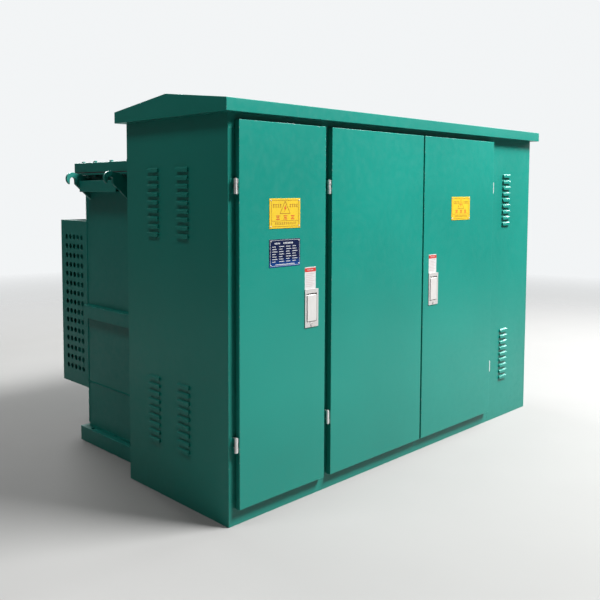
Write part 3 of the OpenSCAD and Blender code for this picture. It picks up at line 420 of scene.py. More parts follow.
def make_finishes(scene):
    cab, tank = scene.cabinet_finish, scene.tank_finish
    green, dark = tuple(cab.green), tuple(tank.green)
    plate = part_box("nameplate")
    return {
        "green_paint": enamel("cabinet_enamel", green, cab.gloss, cab.grime, cab.wear_and_highlight),
        "door_paint": enamel("door_enamel", shade(green, 1.03), cab.gloss - 0.03,
                             cab.grime * 0.8, cab.wear_and_highlight),
        # The tank's paint is a little darker than the cabinet's: painted shade.
        "tank_paint": enamel("tank_paint", dark, cab.gloss + 0.08, cab.grime, cab.wear_and_highlight, 0.0002),
        "zinc_steel": bare_metal("zinc_plate", (0.66, 0.67, 0.66), 0.38, (1, 1, 1), 0.45, 140.0),
        "hinge_enamel": hinge_enamel("hinge_enamel", green, (0.60, 0.59, 0.58), cab.gloss),
        "lock_steel": satin_steel("satin_stainless", (0.43, 0.415, 0.405), 0.42),
        "paddle_steel": satin_steel("satin_paddle", (0.52, 0.505, 0.49), 0.40),
        "rubber": moulded("seal_rubber", (0.022, 0.022, 0.023), 0.68, 0.0, 0.15, 900.0, 0.25),
        "sign_yellow": moulded("sign_yellow", (0.46, 0.31, 0.008), 0.42, 0.1, 0.04, 500.0, 0.03),
        # The nameplate's blue lightens down its lowest third: a painted sheen.
        "plate_blue": sheened("plate_blue", (0.001, 0.005, 0.030), (0.002, 0.042, 0.190),
                              plate[0].z, (plate[0].z * 2 + plate[1].z) / 3, 0.36),
        "core_steel": banded("core_laminations", (0.34, 0.35, 0.37), (0.16, 0.17, 0.18),
                             0.004, "Y", 0.35, 0.8),
        "clamp_paint": enamel("clamp_paint", (0.12, 0.13, 0.14), 0.5, 0.2, 0.3),
        "coil_paper": banded("coil_paper", (0.50, 0.36, 0.20), (0.33, 0.22, 0.11),
                             0.012, "Z", 0.6),
        "epoxy": moulded("bushing_epoxy", (0.21, 0.055, 0.028), 0.26, 0.5, 0.12, 300.0, 0.1),
        "fuse_body": moulded("fuse_moulding", (0.085, 0.088, 0.09), 0.42, 0.15, 0.1, 420.0, 0.15),
        "fuse_orange": moulded("fuse_orange", (0.78, 0.17, 0.02), 0.36, 0.25, 0.06, 420.0, 0.08),
        "copper": bare_metal("tinned_copper", (0.74, 0.42, 0.26), 0.32, (0.2, 1, 1), 0.35, 260.0),
        "brass": bare_metal("cast_brass", (0.72, 0.53, 0.25), 0.36, (1, 1, 1), 0.4, 180.0),
        "breaker_grey": moulded("breaker_case", (0.20, 0.21, 0.22), 0.45, 0.1, 0.06, 700.0, 0.12),
        "black_plastic": moulded("toggle_black", (0.018, 0.018, 0.02), 0.4, 0.1, 0.1, 600.0, 0.1),
        "handle_yellow": enamel("handle_yellow", (0.80, 0.46, 0.03), 0.38, 0.2, 0.5),
        "knob_red": moulded("knob_red", (0.52, 0.03, 0.02), 0.36, 0.3, 0.08, 420.0, 0.1),
        "dial_white": moulded("dial_white", (0.78, 0.78, 0.75), 0.4, 0.3, 0.03, 500.0, 0.04),
        "needle_red": moulded("needle_red", (0.65, 0.03, 0.02), 0.4, 0.1, 0.05, 500.0, 0.0),
        "glass": clear_glass("gauge_glass"),
        "sticker": moulded("sticker_film", (0.41, 0.402, 0.40), 0.45, 0.1, 0.03, 500.0, 0.04),
        "ink_red": moulded("red_print", (0.36, 0.018, 0.010), 0.45, 0.1, 0.06, 500.0, 0.03),
        "ink_orange": moulded("orange_print", (0.16, 0.032, 0.003), 0.45, 0.1, 0.06, 500.0, 0.02),
        "ink_pink": moulded("pale_print", (0.34, 0.27, 0.265), 0.5, 0.0, 0.1, 500.0, 0.02),
        "ink_black": moulded("black_print", (0.03, 0.03, 0.032), 0.5, 0.0, 0.1, 500.0, 0.05),
        "ink_silver": moulded("silver_print", (0.34, 0.35, 0.37), 0.38, 0.1, 0.05, 500.0, 0.02),
        "weld": enamel("painted_weld", shade(dark, 1.35), cab.gloss - 0.04, cab.grime, 0.8),
    }


FINISHES = {}


def finish_of(slot):
    if not FINISHES:
        FINISHES.update(make_finishes(bpy.context.scene))
    return FINISHES[slot]


# ---------------------------------------------------------------- mesh work


def place(name, mesh, finish, body, *stands_for):
    """Links a finished mesh as a piece, with its finish, hides the CAD nodes it stands for and
    parents it to its body.
    """
    piece = bpy.data.objects.new(name, mesh)
    bpy.context.scene.collection.objects.link(piece)
    mesh.materials.clear()
    mesh.materials.append(finish_of(finish))
    if stands_for:
        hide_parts(*stands_for)
    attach(piece, body)
    return piece


def round_edges(bm, radius, shortest, steps=2, front=None):
    """Rounds the sharp edges that are long enough, and marks the new faces as edge.

    With a front, only the edges that lie in that Y plane are rounded.
    """
    edge_mark = bm.faces.layers.float.get("edge") or bm.faces.layers.float.new("edge")
    sharp = [
        e for e in bm.edges
        if len(e.link_faces) == 2
        and e.calc_face_angle(0.0) > SHARP
        and e.calc_length() > shortest
        and (front is None or max(abs(v.co.y - front) for v in e.verts) < 0.0002)
    ]
    if sharp:
        made = bmesh.ops.bevel(
            bm, geom=sharp, offset=radius, segments=steps, profile=0.5,
            affect="EDGES", clamp_overlap=False)
        for face in made["faces"]:
            face[edge_mark] = 1.0
    for face in bm.faces:
        face.smooth = True
    for e in bm.edges:
        if len(e.link_faces) == 2:
            broad = min(face.calc_area() for face in e.link_faces) > BROAD
            e.smooth = e.calc_face_angle(0.0) < (BROAD_FOLD if broad else SMALL_FOLD)


def clean_copy(node):
    """The CAD node's surface with its doubles merged and its flat faces made whole."""
    bm = bmesh.new()
    bm.from_mesh(NODES[node].data)
    bmesh.ops.remove_doubles(bm, verts=bm.verts, dist=1e-5)
    bmesh.ops.dissolve_limit(
        bm, angle_limit=math.radians(0.3), verts=bm.verts, edges=bm.edges)
    return bm


def to_mesh(bm, name):
    mesh = bpy.data.meshes.new(name)
    bm.to_mesh(mesh)
    bm.free()
    return mesh


def plain(holder):
    """The plain mesh that an object's modifiers make. The object itself is taken away."""
    graph = bpy.context.evaluated_depsgraph_get()
    mesh = bpy.data.meshes.new_from_object(holder.evaluated_get(graph), depsgraph=graph)
    bpy.data.objects.remove(holder)
    return mesh


def levelled(mesh):
    """The mesh with its normals weighted by area, so that sheets look flat up to their edges."""
    holder = bpy.data.objects.new("levelling", mesh)
    bpy.context.scene.collection.objects.link(holder)
    weigh = holder.modifiers.new("normals", "WEIGHTED_NORMAL")
    weigh.mode = "FACE_AREA"
    weigh.keep_sharp = True
    return plain(holder)


def detailed(node, radius, shortest, finish=None, barrels=(), fold=0.0):
    """Stands a copy with rounded edges, their faces marked as edge, in for a CAD node.

    Barrels are the (x, y) axes round which the faces are marked as a hinge's turned knuckles.
    Fold is the broader radius of the long edges in the front plane.
    """
    bm = clean_copy(node)
    if fold:
        round_edges(bm, fold, 0.3, 3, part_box(node)[0].y)
    round_edges(bm, radius, shortest)
    if barrels:
        turned = bm.faces.layers.float.new("barrel")
        for face in bm.faces:
            middle = face.calc_center_median()
            if min(math.hypot(middle.x - x, middle.y - y) for x, y in barrels) < KNUCKLE_REACH:
                face[turned] = 1.0
    mesh = levelled(to_mesh(bm, f"{node}_levelled"))
    mesh.name = f"{node}_finished"
    return place(mesh.name, mesh, finish or SLOT_OF[node], BODY_OF[node], node)


def lumps(node):
    """The boxes of a CAD node's separate solids, as (lowest corner, highest corner)."""
    bm = clean_copy(node)
    seen, found = set(), []
    for start in bm.verts:
        if start in seen:
            continue
        stack, group = [start], []
        seen.add(start)
        while stack:
            v = stack.pop()
            group.append(v.co.copy())
            for e in v.link_edges:
                other = e.other_vert(v)
                if other not in seen:
                    seen.add(other)
                    stack.append(other)
        found.append((
            Vector(min(c[i] for c in group) for i in range(3)),
            Vector(max(c[i] for c in group) for i in range(3))))
    bm.free()
    return found


def skin(bm, first, second):
    """The faces between two rings of vertices."""
    for k in range(len(first)):
        j = (k + 1) % len(first)
        bm.faces.new((first[k], first[j], second[j], second[k]))


def prism(bm, outline, front, depth):
    """A flat shape facing -Y: outline is a list of (x, z), front its outer Y."""
    near = [bm.verts.new((x, front, z)) for x, z in outline]
    far = [bm.verts.new((x, front + depth, z)) for x, z in outline]
    bm.faces.new(near)
    bm.faces.new(list(reversed(far)))
    skin(bm, far, near)


def bar(x0, z0, x1, z1):
    return [(x0, z0), (x1, z0), (x1, z1), (x0, z1)]


def rounded_bar(x0, z0, x1, z1, r, steps=5):
    corners = [(x1 - r, z1 - r), (x0 + r, z1 - r), (x0 + r, z0 + r), (x1 - r, z0 + r)]
    outline = []
    for quarter, (x, z) in enumerate(corners):
        for i in range(steps + 1):
            turn = math.pi / 2 * (quarter + i / steps)
            outline.append((x + r * math.cos(turn), z + r * math.sin(turn)))
    return outline


def outline_bars(x0, z0, x1, z1, w):
    """Four bars round the inside of a rectangle."""
    return [
        bar(x0, z0, x1, z0 + w), bar(x0, z1 - w, x1, z1),
        bar(x0, z0 + w, x0 + w, z1 - w), bar(x1 - w, z0 + w, x1, z1 - w)]


def printed(name, shapes, centre, front, slot, body, depth):
    """Raised print or film on a plate: shapes in millimetres round the centre (x, z)."""
    bm = bmesh.new()
    for shape in shapes:
        outline = [(centre[0] + x / 1000, centre[1] + z / 1000) for x, z in shape]
        prism(bm, outline, front - depth, depth)
    bmesh.ops.recalc_face_normals(bm, faces=bm.faces)
    return place(name, to_mesh(bm, name), slot, body)


# ---------------------------------------------------------------- repeated shapes


class Pattern(Board):
    """A Geometry Nodes tree that repeats a shape on the points of the mesh given to it."""

    def __init__(self, name, sizes):
        self.tree = bpy.data.node_groups.new(name, "GeometryNodeTree")
        face = self.tree.interface
        face.new_socket("Points", in_out="INPUT", socket_type="NodeSocketGeometry")
        for label, value in sizes.items():
            kind = "NodeSocketInt" if isinstance(value, int) else "NodeSocketFloat"
            face.new_socket(label, in_out="INPUT", socket_type=kind).default_value = value
        face.new_socket("Material", in_out="INPUT", socket_type="NodeSocketMaterial")
        face.new_socket("Geometry", in_out="OUTPUT", socket_type="NodeSocketGeometry")
        self.given = self.tree.nodes.new("NodeGroupInput")
        self.result = self.tree.nodes.new("NodeGroupOutput")
        self.values = dict(sizes)

    def size(self, label):
        return Wire(self, self.given.outputs[label])

    def vector(self, x, y, z):
        return self.node("ShaderNodeCombineXYZ", {}, {0: x, 1: y, 2: z})

    def moved(self, shape, offset=(0, 0, 0), scale=(1, 1, 1)):
        return self.node("GeometryNodeTransform", {}, {
            "Geometry": shape, "Translation": offset, "Scale": scale})

    def cylinder(self, sides, radius, depth, z):
        shape = self.node("GeometryNodeMeshCylinder", {}, {
            "Vertices": sides, "Radius": radius, "Depth": depth}, out="Mesh")
        return self.moved(shape, self.vector(0.0, 0.0, z))

    def join(self, *shapes):
        return self.node("GeometryNodeJoinGeometry", {}, {0: list(reversed(shapes))})

    def repeat(self, shape, scale=None):
        """Ends the tree: the shape on each point, turned so that its Z follows the point's aim."""
        aim = self.node(
            "GeometryNodeInputNamedAttribute", {"data_type": "FLOAT_VECTOR"}, {"Name": "aim"})
        turn = self.node(
            "FunctionNodeAlignRotationToVector", {"axis": "Z"}, {"Vector": aim})
        sockets = {"Points": self.size("Points"), "Instance": shape, "Rotation": turn}
        if scale is not None:
            sockets["Scale"] = scale
        copies = self.node("GeometryNodeInstanceOnPoints", {}, sockets)
        whole = self.node("GeometryNodeRealizeInstances", {}, {"Geometry": copies})
        coated = self.node("GeometryNodeSetMaterial", {}, {
            "Geometry": whole, "Material": self.size("Material")})
        self.tree.links.new(coated.socket, self.result.inputs["Geometry"])

    def grow(self, name, points, slot, body, *stands_for):
        """Runs the tree on (position, aim) points and places the plain mesh that it makes."""
        seed = bpy.data.meshes.new(name)
        seed.from_pydata([p for p, _ in points], [], [])
        aims = seed.attributes.new("aim", "FLOAT_VECTOR", "POINT")
        for row, (_, aim) in zip(aims.data, points):
            row.vector = aim
        holder = bpy.data.objects.new(name + "_points", seed)
        bpy.context.scene.collection.objects.link(holder)
        modifier = holder.modifiers.new("pattern", "NODES")
        modifier.node_group = self.tree
        for item in self.tree.interface.items_tree:
            if item.in_out == "INPUT" and item.name in self.values:
                modifier[item.identifier] = self.values[item.name]
            elif item.in_out == "INPUT" and item.name == "Material":
                modifier[item.identifier] = finish_of(slot)
        mesh = plain(holder)
        mesh.name = name
        if not mesh.polygons:
            raise RuntimeError(f"{name}: the pattern made no faces")
        return place(name, mesh, slot, body, *stands_for)


def smooth_over(piece, degrees=35):
    piece.data.shade_smooth()
    piece.data.set_sharp_from_angle(angle=math.radians(degrees))


def bolt_pattern(name, sizes, washer, length, grip):
    """A hex bolt with its washer, chamfered head, shank and, where it has a grip, its nut."""
    across, height, shank = sizes
    p = Pattern(name, {
        "Head radius": across, "Head height": height, "Shank radius": shank,
        "Shank length": length, "Washer radius": washer, "Grip": grip})
    head, tall = p.size("Head radius"), p.size("Head height")
    long = p.size("Shank length")
    thick = WASHER_SHEET
    chamfer = p.node("GeometryNodeMeshCone", {}, {
        "Vertices": 18, "Radius Top": head * 0.72, "Radius Bottom": head * 0.93,
        "Depth": tall * 0.16}, out="Mesh")
    shapes = [
        p.cylinder(20, p.size("Washer radius"), thick, thick / 2),
        p.cylinder(6, head, tall * 0.86, tall * 0.43 + thick),
        p.moved(chamfer, p.vector(0.0, 0.0, tall * 0.86 + thick)),
        p.cylinder(14, p.size("Shank radius"), long, long * -0.5),
    ]
    if grip:
        under = p.size("Grip") * -1.0
        shapes.append(p.cylinder(20, p.size("Washer radius"), thick, under - thick / 2))
        shapes.append(p.cylinder(6, head, tall * 0.9, under - thick - tall * 0.45))
    p.repeat(p.join(*shapes))
    return p


def bead_pattern(radius, seed):
    """One ripple of a weld, each a slightly different size."""
    p = Pattern("weld_ripples", {"Ripple radius": radius, "Seed": seed})
    ripple = p.node("GeometryNodeMeshIcoSphere", {}, {
        "Radius": p.size("Ripple radius"), "Subdivisions": 1}, out="Mesh")
    size = p.node("FunctionNodeRandomValue", {"data_type": "FLOAT"}, {
        2: 0.82, 3: 1.12, "Seed": p.size("Seed")}, out=1)
    p.repeat(p.moved(ripple, scale=(1.25, 1.25, 0.8)), p.vector(size, size, size))
    return p


def rivet_pattern(radius):
    """A domed rivet head, its flat side down."""
    p = Pattern("plate_rivets", {"Rivet radius": radius})
    dome = p.node("GeometryNodeMeshUVSphere", {}, {
        "Segments": 14, "Rings": 8, "Radius": p.size("Rivet radius")}, out="Mesh")
    p.repeat(p.moved(dome, scale=(1, 1, 0.5)))
    return p


def plate_pattern(depth, height, thick, flutes):
    """A pressed radiator plate, closed, with its channels along its X. Its Z is its normal."""
    p = Pattern("radiator_plates", {
        "Plate depth": depth, "Plate height": height, "Half thickness": thick / 2,
        "Flutes": flutes})
    deep, tall = p.size("Plate depth"), p.size("Plate height")
    sheet = p.node("GeometryNodeMeshGrid", {}, {
        "Size X": tall, "Size Y": deep, "Vertices X": 13, "Vertices Y": 33}, out="Mesh")
    where = p.node("GeometryNodeInputPosition")
    up = p.node("ShaderNodeSeparateXYZ", {}, {0: where}, out=0) / tall + 0.5
    across = p.node("ShaderNodeSeparateXYZ", {}, {0: where}, out=1) / deep + 0.5
    wave = p.node("ShaderNodeMath", {"operation": "SINE"}, {
        0: across * p.size("Flutes") * math.pi})
    wave = p.node("ShaderNodeMath", {"operation": "ABSOLUTE"}, {0: wave})
    ends = (up * (1 - up) * 9.0).spread(0.0, 1.0)
    rim = (across * (1 - across) * 16.0).spread(0.0, 0.9)
    swell = (wave * ends * 0.7 + 0.3) * rim * ends.spread(0.0, 0.4)
    half = p.node("GeometryNodeSetPosition", {}, {
        "Geometry": sheet, "Offset": p.vector(0.0, 0.0, swell * p.size("Half thickness"))})
    other = p.node("GeometryNodeFlipFaces", {}, {"Mesh": p.moved(half, scale=(1, 1, -1))})
    shell = p.node("GeometryNodeMergeByDistance", {}, {
        "Geometry": p.join(half, other), "Distance": 0.00002})
    p.repeat(shell)
    return p


def tick_pattern(length, width, thick):
    """A short mark on a dial. Its Z points out from the dial's centre."""
    p = Pattern("dial_marks", {"Mark length": length, "Mark width": width})
    p.repeat(p.node("GeometryNodeMeshCube", {}, {
        "Size": p.vector(p.size("Mark width"), thick, p.size("Mark length"))}, out="Mesh"))
    return p


def seam(start, end, pitch):
    """Points along a straight weld, each aiming along it."""
    start, end = Vector(start), Vector(end)
    count = max(2, round((end - start).length / pitch))
    aim = (end - start).normalized()
    return [(start.lerp(end, i / count), aim) for i in range(count + 1)]


# ---------------------------------------------------------------- operators


class Step(bpy.types.Operator):
    """One step of the finishing work."""

    bl_options = {"REGISTER"}

    def execute(self, context):
        self.build(context.scene)
        return {"FINISHED"}


class TRANSFORMER_OT_studio(Step):
    """Sets up the floor, the light and the camera"""

    bl_idname = "transformer.studio"
    bl_label = "Studio"

    def build(self, scene):
        studio = scene.studio_settings
        f = Finish("studio_floor", Roughness=0.85, Specular_IOR_Level=0.1)
        f.feed("Base Color", f.mix(
            f.noise(3.0, 3.0), shade(tuple(studio.floor), 0.98), shade(tuple(studio.floor), 1.02)))
        reach = f.node("ShaderNodeVectorMath", {"operation": "LENGTH"}, {0: f.place}, out="Value")
        f.feed("Alpha", reach.spread(3.2, 9.0, 1.0, 0.0))
        bm = bmesh.new()
        bmesh.ops.create_circle(bm, cap_ends=True, radius=60.0, segments=96)
        mesh = to_mesh(bm, "studio_floor")
        mesh.materials.append(f.material)
        floor = bpy.data.objects.new("studio_floor", mesh)
        scene.collection.objects.link(floor)

        world = bpy.data.worlds.new("surroundings")
        scene.world = world
        world.use_nodes = True
        board = Board()
        board.tree = world.node_tree
        background = world.node_tree.nodes["Background"]
        background.inputs["Color"].default_value = (0.97, 0.99, 1.0, 1.0)
        way = board.node("ShaderNodeTexCoord", out="Generated")
        facing = board.node("ShaderNodeVectorMath", {"operation": "DOT_PRODUCT"}, {
            0: way, 1: (0.69, 0.72, 0.0)}, out="Value")
        pale = facing.spread(0.46, 0.86, studio.sky, studio.backdrop)
        world.node_tree.links.new(pale.socket, background.inputs["Strength"])

        self.lamp(scene, "key_light", (3.0, -4.6, 7.3), (0.2, -0.8, 0.9), 4.0, 1.5, studio.key)
        self.lamp(scene, "side_light", (-3.6, 0.2, 6.0), (-1.2, 0.0, 1.0), 1.3, 1.3, studio.side)
        self.lamp(scene, "top_light", (5.4, -1.0, 3.3), (1.0, -0.8, 0.9), 1.6, 1.6, studio.top)
        self.lamp(scene, "back_light", (0.4, 5.8, 5.2), (0.2, 0.7, 0.8), 2.6, 2.2, studio.back)

        lens = bpy.data.cameras.new("camera")
        lens.sensor_width = 36.0
        lens.lens = 44.05
        lens.shift_x = 0.0486
        lens.shift_y = -0.0971
        lens.clip_end = 300.0
        camera = bpy.data.objects.new("camera", lens)
        scene.collection.objects.link(camera)
        camera.location = (-3.1565, -3.0503, 1.3859)
        camera.rotation_euler = (
            math.radians(90 - 3.947), math.radians(-0.076), math.radians(-43.743))
        scene.camera = camera
        scene.view_settings.view_transform = "Standard"
        scene.view_settings.look = "None"

    def lamp(self, scene, name, at, aim, width, height, power):
        light = bpy.data.lights.new(name, "AREA")
        light.shape = "RECTANGLE"
        light.size, light.size_y = width, height
        light.energy = power
        lamp = bpy.data.objects.new(name, light)
        scene.collection.objects.link(lamp)
        lamp.location = at
        lamp.rotation_euler = (Vector(aim) - Vector(at)).to_track_quat("-Z", "Y").to_euler()


class TRANSFORMER_OT_cabinet(Step):
    """Rounds the edges of the cabinet's frame, panels and roof, and marks them for wear and a
    painted highlight
    """

    bl_idname = "transformer.cabinet"
    bl_label = "Cabinet"

    def build(self, scene):
        edge = scene.cabinet_finish.edge
        for node in ("cabinet_base", "frame_posts", "frame_rails"):
            detailed(node, edge, 0.03)
        for node in ("left_side_panel", "right_side_panel", "front_right_panel"):
            detailed(node, edge * 0.5, 0.03)
        detailed("roof", edge * 1.2, 0.05)
        detailed("compartment_barrier", edge * 0.6, 0.05)
        detailed("door_seals", edge, 0.05)


class TRANSFORMER_OT_doors(Step):
    """Rounds the doors' folded edges and finishes the hinges"""

    bl_idname = "transformer.doors"
    bl_label = "Doors and hinges"

    def build(self, scene):
        edge = scene.cabinet_finish.edge
        for node in ("hv_door", "lv_left_door", "lv_right_door"):
            detailed(node, edge * 0.45, 0.05, fold=edge * 1.6)
        barrels = {
            ((lo.x + hi.x) / 2, (lo.y + hi.y) / 2) for lo, hi in lumps("hinge_pins")}
        for node in ("frame_hinge_leaves", "hv_hinge_leaves", "lv_left_hinge_leaves",
                     "lv_right_hinge_leaves"):
            detailed(node, edge * 0.7, 0.003, finish="hinge_enamel", barrels=barrels)


class TRANSFORMER_OT_locks(Step):
    """Finishes the paddle locks and their latch bolts"""

    bl_idname = "transformer.locks"
    bl_label = "Locks"

    def build(self, scene):
        for side in ("hv", "lv"):
            detailed(f"{side}_lock_plate", 0.0005, 0.012)
            detailed(f"{side}_lock_handle", 0.0007, 0.008, finish="paddle_steel")
            detailed(f"{side}_latch_bolt", 0.0012, 0.005)


class TRANSFORMER_OT_signs(Step):
    """Finishes the signs, the nameplate and the lock stickers, with generic markings"""

    bl_idname = "transformer.signs"
    bl_label = "Signs and plates"

    def build(self, scene):
        ink = scene.fitting_sizes.ink
        rivets = rivet_pattern(scene.fitting_sizes.rivet)
        heads = {}
        for node in ("hv_warning_sign", "lv_warning_sign", "nameplate"):
            detailed(node, 0.0004, 0.05)
            lo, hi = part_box(node)
            body = BODY_OF[node]
            for x in (lo.x + RIVET_INSET, hi.x - RIVET_INSET):
                for z in (lo.z + RIVET_INSET, hi.z - RIVET_INSET):
                    heads.setdefault(body, []).append(((x, lo.y + RIVET_SEAT, z), (0, -1, 0)))
        for body, points in heads.items():
            smooth_over(rivets.grow(f"{body}_rivets", points, "lock_steel", body))
        for node in ("hv_warning_sign", "lv_warning_sign"):
            self.sign(node, ink)
        self.nameplate(ink)
        for door in ("hv", "lv"):
            self.sticker(door, ink)

    def face(self, node):
        """Centre (x, z) and the Y of the plate's printed face, behind the rivet heads."""
        lo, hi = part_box(node)
        return ((lo.x + hi.x) / 2, (lo.z + hi.z) / 2), hi.y - PLATE_SHEET

    def marks(self, x0, z0, count, pitch, width, height):
        """A row of generic marks in place of words, each of three strokes."""
        stroke = height / 5
        inset = width * 0.16
        strokes = []
        for i in range(count):
            x = x0 + pitch * i
            strokes += [
                bar(x, z0 + height - stroke, x + width, z0 + height),
                bar(x + inset, z0 + 2 * stroke, x + width - inset, z0 + 3 * stroke),
                bar(x, z0, x + width, z0 + stroke)]
        return strokes

    def sign(self, node, ink):
        """A border, a triangle with a flash in it, and rows of generic marks."""
        centre, front = self.face(node)
        body = BODY_OF[node]
        outer = [(-32, -2), (32, -2), (0, 53)]
        inner = [(-28.9, -0.2), (28.9, -0.2), (0, 49.4)]
        thin = outline_bars(-82, -56, 82, 56, 1.3)
        for i in range(3):
            j = (i + 1) % 3
            thin.append([outer[i], outer[j], inner[j], inner[i]])
        for x in (-72, 27):
            thin += self.marks(x, 26, 4, 13.4, 8, 13)
        thin.append(bar(-80, -32.2, 80, -31))
        thin += self.marks(-60, -47, 10, 12.9, 8, 9)
        printed(f"{node}_print", thin, centre, front, "ink_orange", body, ink)
        flash = [(3.5, 37), (-7.5, 20), (-1.0, 21), (-4.5, 6.5), (8.5, 24.5), (1.8, 23.5)]
        bold = [flash, *self.marks(-54, -26, 3, 44, 22, 17)]
        printed(f"{node}_flash", bold, centre, front, "ink_red", body, ink)

    def nameplate(self, ink):
        """A thin border, a title in two groups, rows of four fields and a last longer row."""
        centre, front = self.face("nameplate")
        marks = outline_bars(-88, -55, 88, 55, 1.4)
        marks += [bar(-62 + 8.5 * i, 38, -56.5 + 8.5 * i, 45) for i in range(4)]
        marks += [bar(-10 + 8.5 * i, 38, -4 + 8.5 * i, 45) for i in range(7)]
        for row in range(7):
            z = 26 - 10.6 * row
            for column, x in enumerate((-76, -36, 6, 44)):
                length = 20 + 5 * ((row + 2 * column) % 3)
                marks.append(bar(x, z, x + length, z + 3.0))
        marks.append(bar(-58, -50.5, 58, -47))
        printed("nameplate_print", marks, centre, front, "ink_silver", BODY_OF["nameplate"], ink)

    def sticker(self, door, ink):
        """A film above the lock: white, with a red band near its top and faint marks."""
        lo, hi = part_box(f"{door}_lock_plate")
        door_node = "hv_door" if door == "hv" else "lv_right_door"
        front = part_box(door_node)[0].y
        centre = (lo.x + 0.035, hi.z + 0.0495)
        body = BODY_OF[door_node]
        printed(f"{door}_sticker", [rounded_bar(-35, -49.5, 35, 49.5, 1.5)], centre, front,
                "sticker", body, ink)
        printed(f"{door}_sticker_band", [bar(-35, 28, 35, 45)], centre, front - ink,
                "ink_red", body, ink * 0.5)
        lines = [bar(-27, 19 - 8 * i, 27 - 12 * (i % 2), 21.5 - 8 * i) for i in range(8)]
        lines += [bar(-18 + 10 * i, 34, -12 + 10 * i, 39) for i in range(4)]
        printed(f"{door}_sticker_lines", lines, centre, front - ink * 1.5, "ink_pink", body,
                ink * 0.5)


class TRANSFORMER_OT_bolts(Step):
    """Makes the cover, roof and guard bolts and finishes the hinge pins"""

    bl_idname = "transformer.bolts"
    bl_label = "Bolts and pins"

    def build(self, scene):
        washer = scene.fitting_sizes.washer
        rows = {"cover": [], "roof": [], "guard": []}
        tank_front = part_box("tank_cover")[0].y
        guard_head = 0.0065
        for lo, hi in lumps("hex_bolts"):
            mid = (lo + hi) / 2
            upright = hi.z - lo.z > 2 * (hi.x - lo.x)
            if not upright:
                rows["guard"].append(((mid.x, hi.y - guard_head, mid.z), (0, 1, 0)))
            elif mid.y < tank_front:
                rows["roof"].append(((mid.x, mid.y, lo.z + HEX_HEIGHT), (0, 0, -1)))
            else:
                rows["cover"].append(((mid.x, mid.y, hi.z - HEX_HEIGHT), (0, 0, 1)))
        shank = 0.006
        cover = bolt_pattern(
            "cover_bolt", (HEX_RADIUS, HEX_HEIGHT, shank), washer, length=0.075, grip=0.065)
        cover.grow("cover_bolts", rows["cover"], "tank_paint", FIXED, "hex_bolts")
        low_head = HEX_HEIGHT - WASHER_SHEET
        roof = bolt_pattern(
            "roof_bolt", (HEX_RADIUS, low_head, shank), washer, length=0.072, grip=0.0)
        roof.grow("roof_bolts", rows["roof"], "zinc_steel", FIXED, "hex_bolts")
        guard = bolt_pattern(
            "guard_bolt", (0.0095, 0.0048, 0.005), washer * 0.8, length=0.0028, grip=0.0)
        guard.grow("guard_bolts", rows["guard"], "zinc_steel", FIXED, "hex_bolts")
        detailed("hinge_pins", 0.0004, 0.5)


class TRANSFORMER_OT_tank(Step):
    """Finishes the tank, its cover, ribs, base and hooks, and lays the welds"""

    bl_idname = "transformer.tank"
    bl_label = "Tank"

    def build(self, scene):
        rounded = {
            "tank_shell": (0.003, 0.04), "tank_cover": (0.003, 0.04), "tank_base": (0.003, 0.03),
            "tank_ribs": (0.003, 0.02), "lifting_hooks": (0.0016, 0.004),
            "cover_gasket": (0.001, 0.3),
        }
        for node, (radius, shortest) in rounded.items():
            detailed(node, radius, shortest)
        seams = self.rib_seams() + self.wall_seams(scene.tank_finish.seam) + self.hook_seams()
        pitch = scene.tank_finish.bead_pitch
        ripples = [ripple for start, end in seams for ripple in seam(start, end, pitch)]
        beads = bead_pattern(scene.tank_finish.bead, 11)
        beads.grow("tank_welds", ripples, "weld", FIXED)

    def on_wall(self, node):
        """The node's solids, each with the X at which it meets the tank's side wall."""
        return [(high.x if high.x < 0 else low.x, low, high) for low, high in lumps(node)]

    def rib_seams(self):
        """The ends of the welds above and below the long ribs, held back from the corners."""
        return [
            ((x, low.y + 0.01, z), (x, high.y - 0.01, z))
            for x, low, high in self.on_wall("tank_ribs") if high.z < 0.9
            for z in (low.z, high.z)]

    def wall_seams(self, seam_height):
        """The ends of the lower seam, of the welds to the base and of those at the corners."""
        lo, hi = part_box("tank_shell")
        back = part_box("radiators")[0].y
        wall = max(x for x, _, _ in self.on_wall("lifting_hooks"))
        foot, corner, top = lo.z + 0.003, lo.z + 0.02, hi.z - WELD_DROP
        seams = []
        for x in (-wall, wall):
            seams += [
                ((x, lo.y + 0.02, seam_height), (x, back - 0.01, seam_height)),
                ((x, lo.y + 0.02, foot), (x, back - 0.005, foot)),
                ((x, back, corner), (x, back, top)),
                ((x, lo.y, corner), (x, lo.y, top))]
        return seams + [((0.01 - wall, back, foot), (wall - 0.01, back, foot))]

    def hook_seams(self):
        """The ends of the upright welds on both sides of each lifting hook."""
        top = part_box("tank_shell")[1].z - WELD_DROP
        return [
            ((x, y, low.z + 0.01), (x, y, top))
            for x, low, high in self.on_wall("lifting_hooks") for y in (low.y, high.y)]


